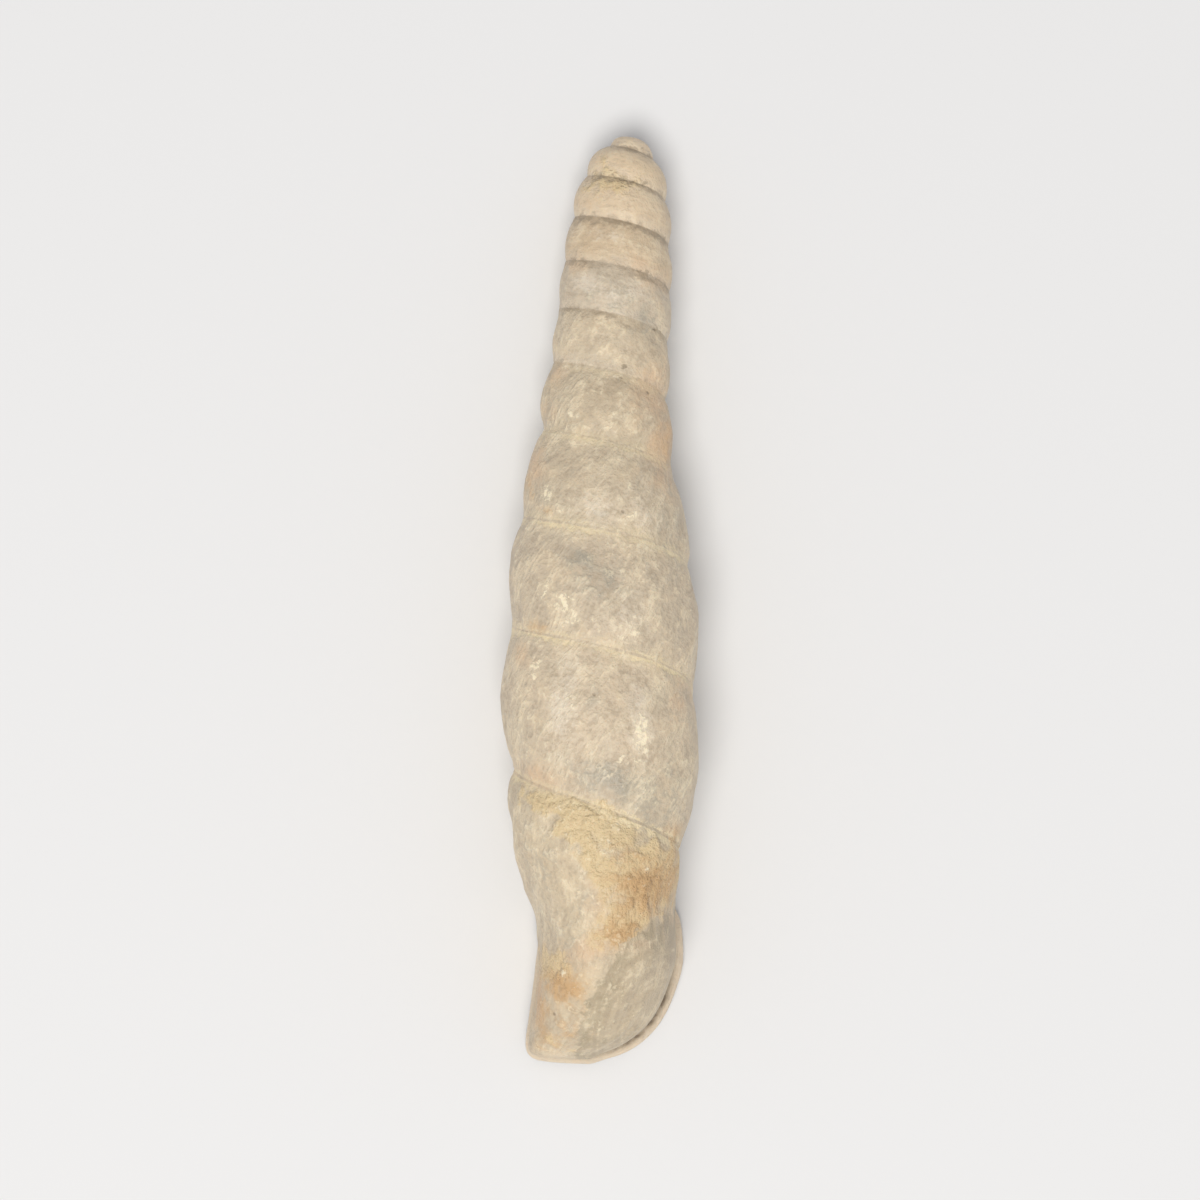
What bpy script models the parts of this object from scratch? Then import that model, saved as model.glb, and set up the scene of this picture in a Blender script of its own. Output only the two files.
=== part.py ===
"""Door snail shell: one closed solid, lying on its side with its mouth down.

The shell is worked out standing up, in millimetres: +Z runs up its axis to the apex, +X is
its right side and -Y is its back. The mouth opens on the front, towards +Y. Growth turns
anticlockwise as seen from the apex, which makes the shell left-handed. At the end the solid
is turned onto its side, apex towards +Y, and rests there on its lip and its widest whorls.
"""

import math

import bmesh
import bpy
import numpy as np
from mathutils import Matrix

MM = 0.001
QUARTER = 0.25                # of a turn, from the shell's back to its right side

# Driving dimensions, in millimetres unless a comment says otherwise.
HEIGHT = 30.3                 # lip to apex
WHORLS = 10                   # whole turns of suture down to the right side of the mouth
SECTIONS_PER_TURN = 26
PAST_SIDE = 3                 # sections by which the outer lip reaches round to the front
ROWS = 6                      # rows of faces from one suture to the next
HOOD_ROWS = 8                 # rows of faces from there down to the foot of the neck

# The suture at each whole turn from the apex: how far below the apex, and how far from the axis.
# The last station lies on the neck, where the wall only has rows in common.
SUTURE_TURN = (0.0, 0.5, 1.0, 2.0, 3.0, 4.0, 5.0, 6.0, 7.0, 8.0, 9.0, 9.5, 10.0, 10.25, 10.5,
               10.75, 11.0)
SUTURE_DROP = (0.0, 0.18, 0.64, 1.95, 3.42, 4.97, 6.63, 8.58, 11.06, 14.20, 18.20, 20.72, 23.36,
               23.85, 25.45, 26.90, 27.90)
SUTURE_RADIUS = (0.0, 0.43, 0.93, 1.38, 1.59, 1.73, 1.79, 1.88, 2.25, 2.74, 2.92, 2.80, 2.45,
                 2.25, 2.10, 2.10, 2.10)

# How far a whorl swells beyond its two sutures, as a share of its height.
SWELL = 0.078
NUCLEUS_SWELL = 0.13          # added at the apex
SWELL_FADE = 1.4              # turns in which that extra swell fades

# The upper half of the axis leans to the right.
LEAN = 0.0756                 # sideways per unit of height
LEAN_START = 19.3             # height of the bend
LEAN_SOFTNESS = 1.0

# The last whorl and the neck, as level sections. The left, right and back sides are given at
# heights above the foot, the front and the widest line at plain heights.
FOOT = 0.29                   # height of the lowest point of the neck, inside the lip
FOOT_SIDE = -0.65             # where that point is, sideways
MOUTH_PLANE = 2.20            # how far forward of the axis the mouth's plane is
LEFT_SIDE = ((0.0, FOOT_SIDE), (0.08, -1.50), (0.20, -2.02), (0.50, -2.17), (1.5, -2.03),
             (2.4, -1.94), (3.2, -1.93), (4.1, -2.07), (4.7, -2.15), (5.6, -2.50), (6.7, -2.78),
             (7.5, -2.86), (8.4, -3.00), (9.2, -3.06), (12.5, -3.03))
RIGHT_SIDE = ((0.0, FOOT_SIDE), (0.20, 0.20), (0.46, 0.80), (0.97, 1.38), (1.5, 1.76),
              (2.5, 2.20), (3.5, 2.42), (4.7, 2.38), (5.6, 2.47), (6.7, 2.53),
              (7.5, 2.72), (8.4, 2.95), (9.3, 3.07), (10.2, 3.10), (12.5, 2.95))
BACK_SIDE = ((0.0, MOUTH_PLANE), (0.11, 1.60), (0.31, 1.10), (0.7, 0.35), (1.2, -0.35),
             (1.9, -1.10), (2.7, -1.70), (3.7, -2.20), (4.7, -2.50), (5.7, -2.72),
             (6.7, -2.88), (7.5, -2.95), (9.4, -3.02), (12.5, -3.0))
FRONT_SIDE = ((4.8, 2.20), (5.8, 2.22), (6.4, 2.28), (6.9, 2.60), (7.4, 2.83), (8.0, 2.98),
              (8.8, 3.05), (9.7, 3.06), (12.5, 2.95))
# How far forward of the axis the widest line of each section lies.
WIDEST = ((4.9, MOUTH_PLANE), (5.5, 1.90), (6.0, 1.40), (6.4, 0.90), (6.8, 0.35), (7.4, 0.0),
          (12.5, 0.0))
ROUND_TO_FRONT = (5.0, 6.8)   # heights between which the outer lip comes round to the front
NECK_ROUNDNESS = 0.94         # below 1 fills the neck's sections out
NECK_BEGINS = (WHORLS - 1.1, WHORLS - 0.7)   # turns in which the last whorl becomes the neck
SUTURE_HOLD = 4               # how closely its upper edge still follows the suture
HOOD_CROWDING = 1.5           # crowds the hood's rows towards the foot

# The collar and lip, followed from the wall forwards, round the edge and back in: how far
# outwards, and how far forward of the mouth's plane.
LIP = ((0.02, 0.45), (0.05, 0.90), (0.12, 1.25), (0.24, 1.50), (0.31, 1.64), (0.27, 1.75),
       (0.12, 1.80), (-0.04, 1.72), (-0.17, 1.45), (-0.22, 0.90))
PARIETAL_SPREAD = 0.3         # share of the outward reach that the lip keeps against the whorl
SPREAD_FADES = (3.6, 5.0)     # heights between which the lip draws in to that share
PARIETAL_RECESS = 0.26        # how far the lip sets back there

# The folds in the mouth: bearing round the mouth and half width in degrees, height of the ridge.
FOLDS = ((68.0, 9.0, 0.50), (152.0, 11.0, 0.55), (200.0, 10.0, 0.30))

# The hollow behind the lip, from the mouth inwards: middle (side, forward, height), half sizes.
HOLLOW = (((0.20, 2.30, 3.35), (1.80, 2.66)),
          ((0.20, 1.50, 3.45), (1.75, 2.60)),
          ((0.20, 0.60, 3.80), (1.68, 2.50)),
          ((0.15, -0.40, 4.30), (1.42, 2.25)),
          ((0.05, -1.20, 4.95), (1.15, 1.90)),
          ((-0.05, -1.75, 5.60), (0.75, 1.30)))
HOLLOW_END = (-0.10, -2.05, 6.05)

# How the shell rests: on its lip and on the swell of its widest whorls, in degrees.
REST_PITCH = -4.99            # apex down
REST_ROLL = -0.52             # about its length

SHELL_COLOUR = (0.62, 0.51, 0.37, 1.0)
SHELL_ROUGHNESS = 0.5


def clear_scene():
    """Remove every object that the file opened with."""
    for item in list(bpy.data.objects):
        bpy.data.objects.remove(item, do_unlink=True)


def curve_through(stations, values, where):
    """Read a smooth curve through the stations that never overshoots them.

    Piecewise cubic with harmonic-mean slopes, as in Fritsch and Carlson's method.
    """
    x = np.asarray(stations, dtype=float)
    y = np.asarray(values, dtype=float)
    step = np.diff(x)
    rise = np.diff(y) / step
    slope = np.concatenate(([rise[0]], np.zeros(len(x) - 2), [rise[-1]]))
    turning = rise[:-1] * rise[1:] <= 0.0
    before = 2.0 * step[1:] + step[:-1]
    after = step[1:] + 2.0 * step[:-1]
    safe = np.where(turning, 1.0, rise[:-1]), np.where(turning, 1.0, rise[1:])
    mean = (before + after) / (before / safe[0] + after / safe[1])
    slope[1:-1] = np.where(turning, 0.0, mean)
    where = np.clip(where, x[0], x[-1])
    k = np.clip(np.searchsorted(x, where, side="right") - 1, 0, len(step) - 1)
    s = (where - x[k]) / step[k]
    start = y[k] * (1 + 2 * s) * (1 - s) ** 2 + slope[k] * step[k] * s * (1 - s) ** 2
    end = y[k + 1] * s ** 2 * (3 - 2 * s) + slope[k + 1] * step[k] * s ** 2 * (s - 1)
    return start + end


def side_at(table, height):
    """Read a side of the neck at a height; root spacing rounds it off at the foot."""
    stations = np.sqrt([row[0] for row in table])
    above_foot = np.clip(height - FOOT, 0.0, None)
    return curve_through(stations, [row[1] for row in table], np.sqrt(above_foot))


def smooth_step(value, low, high):
    """Rise from 0 at low to 1 at high with level ends."""
    s = np.clip((value - low) / (high - low), 0.0, 1.0)
    return s * s * (3.0 - 2.0 * s)


def suture_height(turn):
    return HEIGHT - curve_through(SUTURE_TURN, SUTURE_DROP, np.clip(turn, 0.0, None))


def suture_radius(turn):
    return curve_through(SUTURE_TURN, SUTURE_RADIUS, np.clip(turn, 0.0, None))


def lean_at(height):
    """Sideways shift of the axis: none low down, then a steady lean above the bend."""
    return LEAN * LEAN_SOFTNESS * np.logaddexp(0.0, (height - LEAN_START) / LEAN_SOFTNESS)


def slope_at(height):
    """How steeply the axis leans there. Each turn stays square to it."""
    return LEAN / (1.0 + np.exp((LEAN_START - height) / LEAN_SOFTNESS))


def spire_point(turn, across):
    """Wall of the whorl at a turn: a chord from suture to suture, swollen at right angles."""
    top_r, low_r = suture_radius(turn), suture_radius(turn + 1.0)
    top_z, low_z = suture_height(turn), suture_height(turn + 1.0)
    swell = SWELL + NUCLEUS_SWELL * np.exp(-np.clip(turn, 0.0, None) / SWELL_FADE)
    arch = 4.0 * across * (1.0 - across) * swell
    radius = top_r + (low_r - top_r) * across + arch * (top_z - low_z)
    height = top_z + (low_z - top_z) * across + arch * (low_r - top_r)
    angle = 2.0 * np.pi * turn
    side = radius * np.cos(angle)
    bent = (side + lean_at(height), radius * np.sin(angle), height - slope_at(height) * side)
    return np.stack(bent, axis=-1)


def neck_turn(turn, height):
    """Past the back, spread the sections so that the last one follows the mouth's outer side."""
    back = WHORLS - QUARTER
    past = PAST_SIDE / SECTIONS_PER_TURN
    spread = (QUARTER + past * smooth_step(height, *ROUND_TO_FRONT)) / (QUARTER + past)
    return np.where(turn > back, back + (turn - back) * spread, turn)


def neck_point(turn, height):
    """Wall of the last whorl: two half ovals, back and front, that meet at the widest line."""
    angle = 2.0 * np.pi * neck_turn(turn, height)
    left, right = side_at(LEFT_SIDE, height), side_at(RIGHT_SIDE, height)
    widest = curve_through(*zip(*WIDEST), height)
    back = side_at(BACK_SIDE, height)
    front = curve_through(*zip(*FRONT_SIDE), height)
    along, into = np.cos(angle), np.sin(angle)
    depth = np.where(into < 0.0, widest - back, front - widest)
    side = (left + right) / 2.0 + (right - left) / 2.0 * along
    forward = widest + depth * np.sign(into) * np.abs(into) ** NECK_ROUNDNESS
    return np.stack([side, forward, height], axis=-1)


def wall_point(turn, across):
    """Wall of any whorl; the last one leaves its suture and becomes the neck."""
    spire = spire_point(turn, across)
    neck = neck_point(turn, spire[..., 2])
    share = smooth_step(turn, *NECK_BEGINS) * (1.0 - (1.0 - across) ** SUTURE_HOLD)
    return spire + (neck - spire) * share[..., None]


def grid_faces(corners):
    """Quads between neighbouring entries of an array of vertex numbers."""
    a, b = corners[:-1, :-1], corners[:-1, 1:]
    c, d = corners[1:, 1:], corners[1:, :-1]
    return np.stack([a, b, c, d], axis=-1).reshape(-1, 4)


def spiral_wall():
    """The wall from the apex to the mouth, as one strip wound round the axis.

    The lower edge of each turn is the upper edge of the next, so both share their vertices.
    The first turn starts from a point: its upper edge and its first column are the apex.
    """
    columns = (WHORLS + 1) * SECTIONS_PER_TURN + PAST_SIDE + 1
    turn = (np.arange(columns) / SECTIONS_PER_TURN - 1.0)[:, None]
    across = (np.arange(ROWS + 1) / ROWS)[None, :]
    turn, across = np.broadcast_arrays(turn, across)
    points = wall_point(turn, across)
    numbers = np.arange(columns * (ROWS + 1)).reshape(columns, ROWS + 1)
    numbers[:SECTIONS_PER_TURN + 1, 0] = 0
    numbers[0, :] = 0
    numbers[:-SECTIONS_PER_TURN, ROWS] = numbers[SECTIONS_PER_TURN:, 0]
    return points.reshape(-1, 3), numbers


def hood(strip_points, strip_numbers):
    """The back of the neck below the strip, narrowing to one point at the foot."""
    sections = SECTIONS_PER_TURN // 2 + PAST_SIDE
    edge = strip_numbers[-sections - 1:, ROWS]
    turn = (WHORLS - 2 * QUARTER + np.arange(sections + 1) / SECTIONS_PER_TURN)[:, None]
    start = strip_points[edge, 2][:, None]
    left_over = (1.0 - np.arange(1, HOOD_ROWS) / HOOD_ROWS)[None, :]
    height = FOOT + (start - FOOT) * left_over ** HOOD_CROWDING
    points = neck_point(turn + 0.0 * height, height)
    first = len(strip_points)
    numbers = first + np.arange(points.shape[0] * points.shape[1]).reshape(points.shape[:2])
    foot_number = first + numbers.size
    foot = np.array([[FOOT_SIDE, MOUTH_PLANE, FOOT]])
    feet = np.full((sections + 1, 1), foot_number)
    numbers = np.hstack([edge[:, None], numbers, feet])
    return np.vstack([points.reshape(-1, 3), foot]), numbers


def mouth_edge(strip_numbers, hood_numbers):
    """Vertex numbers round the mouth: down the right, up the left and back over the top."""
    sections = SECTIONS_PER_TURN // 2 + PAST_SIDE
    right = np.concatenate([strip_numbers[-1, :-1], hood_numbers[-1]])
    left = hood_numbers[0, -2::-1]
    over = strip_numbers[-sections - 2:-SECTIONS_PER_TURN - 1:-1, ROWS]
    return np.concatenate([right, left, over])


def lip_rows(edge):
    """Rows of points that carry the wall's edge out into the lip, round it and back in."""
    ahead = np.roll(edge, -1, axis=0) - np.roll(edge, 1, axis=0)
    outward = np.stack([-ahead[:, 2], np.zeros(len(edge)), ahead[:, 0]], axis=-1)
    middle = edge.mean(axis=0)
    facing = np.sign(np.sum(outward * (edge - middle), axis=1).mean())
    outward *= facing / np.linalg.norm(outward, axis=1, keepdims=True)
    against_whorl = smooth_step(edge[:, 2], *SPREAD_FADES)
    spread = 1.0 - (1.0 - PARIETAL_SPREAD) * against_whorl
    rows = []
    for out, forward in LIP:
        reach = out * (spread if out > 0.0 else 1.0)
        row = edge + outward * np.reshape(reach, (-1, 1) if np.ndim(reach) else ())
        row[:, 1] = MOUTH_PLANE + forward - PARIETAL_RECESS * against_whorl
        rows.append(row)
    return rows


def hollow_rows(last_row):
    """Rings that carry the mouth's inner edge into the body whorl; each is an oval."""
    middle = last_row.mean(axis=0)
    bearing = np.arctan2(last_row[:, 2] - middle[2], last_row[:, 0] - middle[0])
    rows = []
    ridge = np.zeros(len(last_row))
    for towards, half_angle, rise in FOLDS:
        off = np.remainder(np.degrees(bearing) - towards + 180.0, 360.0) - 180.0
        ridge += rise * np.exp(-(off / half_angle) ** 2)
    for (side, forward, height), (half_width, half_height) in HOLLOW:
        ring = np.empty_like(last_row)
        fade = half_width / HOLLOW[0][1][0]
        ring[:, 0] = side + (half_width - ridge * fade) * np.cos(bearing)
        ring[:, 1] = forward
        ring[:, 2] = height + (half_height - ridge * fade) * np.sin(bearing)
        rows.append(ring)
    return rows


def closed_ring_faces(rows):
    """Quads between rings of vertex numbers, each ring closed on itself."""
    rings = np.asarray(rows)
    return grid_faces(np.hstack([rings, rings[:, :1]]))


def shell_mesh():
    """The whole shell as vertices and faces."""
    strip_points, strip_numbers = spiral_wall()
    hood_points, hood_numbers = hood(strip_points, strip_numbers)
    points = np.vstack([strip_points, hood_points])
    edge_numbers = mouth_edge(strip_numbers, hood_numbers)
    edge = points[edge_numbers]
    rows = lip_rows(edge)
    rows += hollow_rows(rows[-1])
    inner = np.vstack(rows)
    first = len(points)
    inner_numbers = first + np.arange(len(inner)).reshape(len(rows), -1)
    end_number = first + len(inner)
    rings = [edge_numbers] + list(inner_numbers) + [np.full(len(edge_numbers), end_number)]
    points = np.vstack([points, inner, [HOLLOW_END]])
    faces = [grid_faces(strip_numbers), grid_faces(hood_numbers), closed_ring_faces(rings)]
    return points, np.vstack(faces)


def without_repeats(face):
    """A face that names a vertex twice keeps it once, so quads at a point become triangles."""
    kept = [v for i, v in enumerate(face) if v != face[i - 1]]
    return kept if len(set(kept)) == len(kept) else []


def closed_bmesh():
    """Vertices and faces as one closed bmesh with its normals outwards."""
    points, quads = shell_mesh()
    faces = [kept for kept in map(without_repeats, quads.tolist()) if len(kept) > 2]
    used = sorted({v for face in faces for v in face})
    place = {v: i for i, v in enumerate(used)}
    shape = bmesh.new()
    verts = [shape.verts.new(points[v] * MM) for v in used]
    for face in faces:
        shape.faces.new([verts[place[v]] for v in face])
    bmesh.ops.recalc_face_normals(shape, faces=shape.faces[:])
    bmesh.ops.triangulate(shape, faces=shape.faces[:])
    if shape.calc_volume(signed=True) < 0.0:
        bmesh.ops.reverse_faces(shape, faces=shape.faces[:])
    return shape


def turned(shape, degrees, axis):
    """Turn the whole shape about an axis through the origin."""
    matrix = Matrix.Rotation(math.radians(degrees), 3, axis)
    bmesh.ops.rotate(shape, cent=(0.0, 0.0, 0.0), matrix=matrix, verts=shape.verts[:])


def lay_down(shape):
    """Turn the shell onto its mouth side as it rests, and set it on the ground at the origin."""
    turned(shape, -90.0, "X")
    turned(shape, REST_PITCH, "X")
    turned(shape, REST_ROLL, "Y")
    places = np.array([v.co[:] for v in shape.verts])
    low, high = places.min(axis=0), places.max(axis=0)
    shift = (-(low[0] + high[0]) / 2.0, -(low[1] + high[1]) / 2.0, -low[2])
    bmesh.ops.translate(shape, vec=shift, verts=shape.verts[:])


def shell_material():
    material = bpy.data.materials.new("shell")
    material.use_nodes = True
    surface = material.node_tree.nodes["Principled BSDF"]
    surface.inputs["Base Color"].default_value = SHELL_COLOUR
    surface.inputs["Roughness"].default_value = SHELL_ROUGHNESS
    surface.inputs["Metallic"].default_value = 0.0
    return material


def build_shell(collection):
    shape = closed_bmesh()
    lay_down(shape)
    mesh = bpy.data.meshes.new("shell")
    shape.to_mesh(mesh)
    shape.free()
    mesh.shade_smooth()
    mesh.materials.append(shell_material())
    shell = bpy.data.objects.new("shell", mesh)
    collection.objects.link(shell)
    return shell


def main():
    clear_scene()
    collection = bpy.data.collections.new("door_snail_shell")
    bpy.context.scene.collection.children.link(collection)
    build_shell(collection)


main()
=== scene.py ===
# %% [markdown]
# # A door snail shell
# A door snail is a land snail with a long, slender shell that coils to the left. The shell is
# a tube of lime that grows at its mouth, so the whole form is one surface wound round an axis.
# Here numpy works out that surface, and nodes colour it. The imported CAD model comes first,
# because everything has to stay inside its box.

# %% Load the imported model
import functools
import math

import bpy
import numpy as np
from mathutils import Matrix, Vector


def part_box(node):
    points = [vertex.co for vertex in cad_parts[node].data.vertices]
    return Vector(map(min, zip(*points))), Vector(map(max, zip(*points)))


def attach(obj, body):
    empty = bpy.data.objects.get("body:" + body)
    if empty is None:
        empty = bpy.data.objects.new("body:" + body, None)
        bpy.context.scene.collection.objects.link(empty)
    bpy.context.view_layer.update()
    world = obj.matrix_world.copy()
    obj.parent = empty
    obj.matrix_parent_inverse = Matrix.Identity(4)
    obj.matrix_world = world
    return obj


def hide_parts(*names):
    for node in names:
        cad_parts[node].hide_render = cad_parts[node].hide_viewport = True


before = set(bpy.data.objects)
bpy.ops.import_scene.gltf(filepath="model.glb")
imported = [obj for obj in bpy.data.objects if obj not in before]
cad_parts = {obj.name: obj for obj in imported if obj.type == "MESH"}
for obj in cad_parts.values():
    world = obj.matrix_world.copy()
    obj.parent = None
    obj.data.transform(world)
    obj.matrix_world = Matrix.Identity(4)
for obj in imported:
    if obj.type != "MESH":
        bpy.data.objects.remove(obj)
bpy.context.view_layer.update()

MM = 0.001

# %% [markdown]
# ## The growth line
# The suture is the seam where one turn of the tube meets the next. It is a helix that widens,
# so two tables give it: how far below the apex it is after so many turns, and how far from the
# axis. A plain cubic curve would overshoot and make false waists, so its slopes are damped.
# The tables are in millimetres, apex up, with the back towards -Y and the mouth towards +Y.

# %% Sizes of the coil
HEIGHT = 30.37  # mm from the foot to the apex
WHORLS = 10  # turns before the last, which leaves the coil
SUTURE_TURN = (0.0, 0.5, 1.0, 2.0, 3.0, 4.0, 5.0, 6.0, 6.5, 7.0, 8.0, 9.0, 9.5, 10.0, 10.25,
               10.5, 10.75, 11.0)
SUTURE_DROP = (0.0, 0.25, 0.71, 2.02, 3.49, 5.04, 6.7, 8.65, 9.82, 11.13, 14.27, 18.27, 20.79,
               23.43, 23.92, 25.52, 26.97, 27.97)
SUTURE_RADIUS = (0.0, 0.50, 0.93, 1.38, 1.59, 1.73, 1.77, 1.83, 1.96, 2.22, 2.74, 2.92, 2.80,
                 2.45, 2.25, 2.10, 2.10, 2.10)
print("coil:", SUTURE_TURN[-1], "turns in", HEIGHT, "mm")

# %% Smooth curves through a table


def curve_through(stations, values, where):
    """Smooth curve through the stations: cubic pieces whose slopes are harmonic means."""
    x, y = np.asarray(stations, dtype=float), np.asarray(values, dtype=float)
    step = np.diff(x)
    rise = np.diff(y) / step
    slope = np.concatenate(([rise[0]], np.zeros(len(x) - 2), [rise[-1]]))
    turning = rise[:-1] * rise[1:] <= 0.0
    before, after = 2.0 * step[1:] + step[:-1], step[1:] + 2.0 * step[:-1]
    rise_before, rise_after = np.where(turning, 1.0, rise[:-1]), np.where(turning, 1.0, rise[1:])
    mean = (before + after) / (before / rise_before + after / rise_after)
    slope[1:-1] = np.where(turning, 0.0, mean)
    where = np.clip(where, x[0], x[-1])
    k = np.clip(np.searchsorted(x, where, side="right") - 1, 0, len(step) - 1)
    s = (where - x[k]) / step[k]
    start = y[k] * (1 + 2 * s) * (1 - s) ** 2 + slope[k] * step[k] * s * (1 - s) ** 2
    end = y[k + 1] * s ** 2 * (3 - 2 * s) + slope[k + 1] * step[k] * s ** 2 * (s - 1)
    return start + end


def smooth_step(value, low, high):
    """Rise from 0 at low to 1 at high with level ends: 3s^2 - 2s^3."""
    s = np.clip((value - low) / (high - low), 0.0, 1.0)
    return s * s * (3.0 - 2.0 * s)


def suture_height(turn):
    """Height of the seam in mm: the shell's height less the drop."""
    return HEIGHT - curve_through(SUTURE_TURN, SUTURE_DROP, np.clip(turn, 0.0, None))


def suture_radius(turn):
    """Distance of the seam from the axis in mm."""
    return curve_through(SUTURE_TURN, SUTURE_RADIUS, np.clip(turn, 0.0, None))


print("suture heights in mm:", np.round(suture_height(np.arange(11.0)), 2))

# %% [markdown]
# ## The spire
# Between two seams the wall of a whorl swells a little. A stack of lathe rings would have
# level circles for seams. So the wall is one strip: the first parameter counts turns from the
# apex, the second runs across from the upper seam to the lower one. The upper half of the
# axis leans a little to the right, as grown shells often do.

# %% Wall of the spire
SWELL = 0.078  # swelling of a wall, as a share of its chord
NUCLEUS_SWELL = 0.19  # how much more the first whorl swells
SWELL_FADE = 1.4  # turns over which that dies away
LEAN = 0.0756  # mm to the right for each mm up
LEAN_START = 19.3  # height where the lean begins
LEAN_SOFTNESS = 1.0  # mm over which it sets in


def lean_at(height):
    """Sideways shift of the axis: nothing low down, a steady lean above the bend."""
    return LEAN * LEAN_SOFTNESS * np.logaddexp(0.0, (height - LEAN_START) / LEAN_SOFTNESS)


def slope_at(height):
    """How steeply the axis leans there: the shift's own rate of change with height."""
    return LEAN / (1.0 + np.exp((LEAN_START - height) / LEAN_SOFTNESS))


def spire_point(turn, across):
    """Chord from seam to seam plus 4u(1-u) times the swell, pushed out at right angles."""
    top_r, low_r = suture_radius(turn), suture_radius(turn + 1.0)
    top_z, low_z = suture_height(turn), suture_height(turn + 1.0)
    swell = SWELL + NUCLEUS_SWELL * np.exp(-np.clip(turn, 0.0, None) / SWELL_FADE)
    arch = 4.0 * across * (1.0 - across) * swell
    radius = top_r + (low_r - top_r) * across + arch * (top_z - low_z)
    height = top_z + (low_z - top_z) * across + arch * (low_r - top_r)
    angle = 2.0 * np.pi * turn
    side = radius * np.cos(angle)
    return np.stack([side + lean_at(height), radius * np.sin(angle),
                     height - slope_at(height) * side], axis=-1)


print("widest whorl, in mm:", np.round(2 * suture_radius(np.array([8.5, 9.0])), 2))

# %% [markdown]
# ## The neck
# The last whorl leaves the coil, narrows to a neck and turns forward to the mouth. No formula
# of growth gives that, so the neck is drawn as level sections: two half ovals, back and front,
# that meet where the section is widest. Tables give its sides at each height above the foot.
# They are read on a square-root scale there, which rounds the end off.

# %% Tables of the neck
FOOT = 0.34  # height of the neck's lowest point
FOOT_SIDE = -0.45
MOUTH_PLANE = 2.20  # how far forward the wall's edge stands round the mouth
LEFT_SIDE = ((0.0, FOOT_SIDE), (0.05, -1.62), (0.12, -2.18), (0.40, -2.37), (1.45, -2.23),
             (2.35, -2.11), (3.15, -2.03), (3.97, -2.08), (4.57, -2.15), (5.47, -2.50),
             (6.57, -2.78), (7.37, -2.86), (8.27, -3.00), (9.07, -3.06), (12.37, -3.03))
RIGHT_SIDE = ((0.0, FOOT_SIDE), (0.16, -0.06), (0.38, 0.52), (0.86, 1.23), (1.37, 1.69),
              (2.37, 2.16), (3.37, 2.41), (4.57, 2.37), (5.47, 2.43), (6.57, 2.50),
              (7.37, 2.70), (8.27, 2.95), (9.17, 3.07), (10.07, 3.10), (12.37, 2.95))
BACK_SIDE = ((0.0, MOUTH_PLANE), (0.07, 1.60), (0.22, 1.10), (0.57, 0.35), (1.07, -0.35),
             (1.77, -1.10), (2.57, -1.70), (3.57, -2.20), (4.57, -2.50), (5.57, -2.72),
             (6.57, -2.88), (7.37, -2.95), (9.27, -3.02), (12.37, -3.0))
FRONT_SIDE = ((4.8, 2.20), (5.8, 2.22), (6.4, 2.28), (6.9, 2.60), (7.4, 2.83), (8.0, 2.98),
              (8.8, 3.05), (9.7, 3.06), (12.5, 2.95))
WIDEST = ((4.9, MOUTH_PLANE), (5.5, 1.90), (6.0, 1.40), (6.4, 0.90), (6.8, 0.35), (7.4, 0.0),
          (12.5, 0.0))
ROUND_TO_FRONT = (5.0, 6.8)  # heights over which the sections reach the front
NECK_ROUNDNESS = 0.94  # power of the sine in the half ovals
NECK_BEGINS = (WHORLS - 1.1, WHORLS - 0.7)  # turns over which the coil becomes the neck
SUTURE_HOLD = 4  # how closely the neck keeps to the seam above it
QUARTER = 0.25  # of a turn, from the back to the right side
PAST_SIDE = 3 / 26  # turns that the sections reach past the right side
print("rows in the tables of the sides:",
      [len(table) for table in (LEFT_SIDE, RIGHT_SIDE, BACK_SIDE, FRONT_SIDE)])

# %% Wall of the neck


def side_at(table, height):
    """A side of the neck at a height, read on a square-root scale above the foot."""
    stations = np.sqrt([row[0] for row in table])
    above_foot = np.clip(height - FOOT, 0.0, None)
    return curve_through(stations, [row[1] for row in table], np.sqrt(above_foot))


def neck_turn(turn, height):
    """Past the back, spread the sections so that the last follows the mouth's outer side."""
    back = WHORLS - QUARTER
    spread = QUARTER + PAST_SIDE * smooth_step(height, *ROUND_TO_FRONT)
    return np.where(turn > back, back + (turn - back) * spread / (QUARTER + PAST_SIDE), turn)


def neck_point(turn, height):
    """Half ovals back and front: side by the cosine, depth by the sine to a power."""
    angle = 2.0 * np.pi * neck_turn(turn, height)
    left, right = side_at(LEFT_SIDE, height), side_at(RIGHT_SIDE, height)
    widest = curve_through(*zip(*WIDEST), height)
    front = curve_through(*zip(*FRONT_SIDE), height)
    along, into = np.cos(angle), np.sin(angle)
    depth = np.where(into < 0.0, widest - side_at(BACK_SIDE, height), front - widest)
    side = (left + right) / 2.0 + (right - left) / 2.0 * along
    forward = widest + depth * np.sign(into) * np.abs(into) ** NECK_ROUNDNESS
    return np.stack([side, forward, height], axis=-1)


def wall_point(turn, across):
    """The spire's wall, blended into the neck's over a part of the last turn."""
    spire = spire_point(turn, across)
    neck = neck_point(turn, spire[..., 2])
    share = smooth_step(turn, *NECK_BEGINS) * (1.0 - (1.0 - across) ** SUTURE_HOLD)
    return spire + (neck - spire) * share[..., None]


print("neck at height 5 mm, from left to right:", side_at(LEFT_SIDE, 5.0 + FOOT).round(2),
      side_at(RIGHT_SIDE, 5.0 + FOOT).round(2))

# %% [markdown]
# ## Relief
# A snail adds lime in small steps, and each step leaves a growth line. The lines lean, as the
# mouth's edge does, and a pause in growth makes a stronger one. The wall is never quite even
# either. So one function gives the height over the smooth wall: waves along the growth, plus
# bumps made of many cosines in random directions. Moving the mesh itself gives a true outline,
# and the finest lines are left to the bump of the material.

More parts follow.
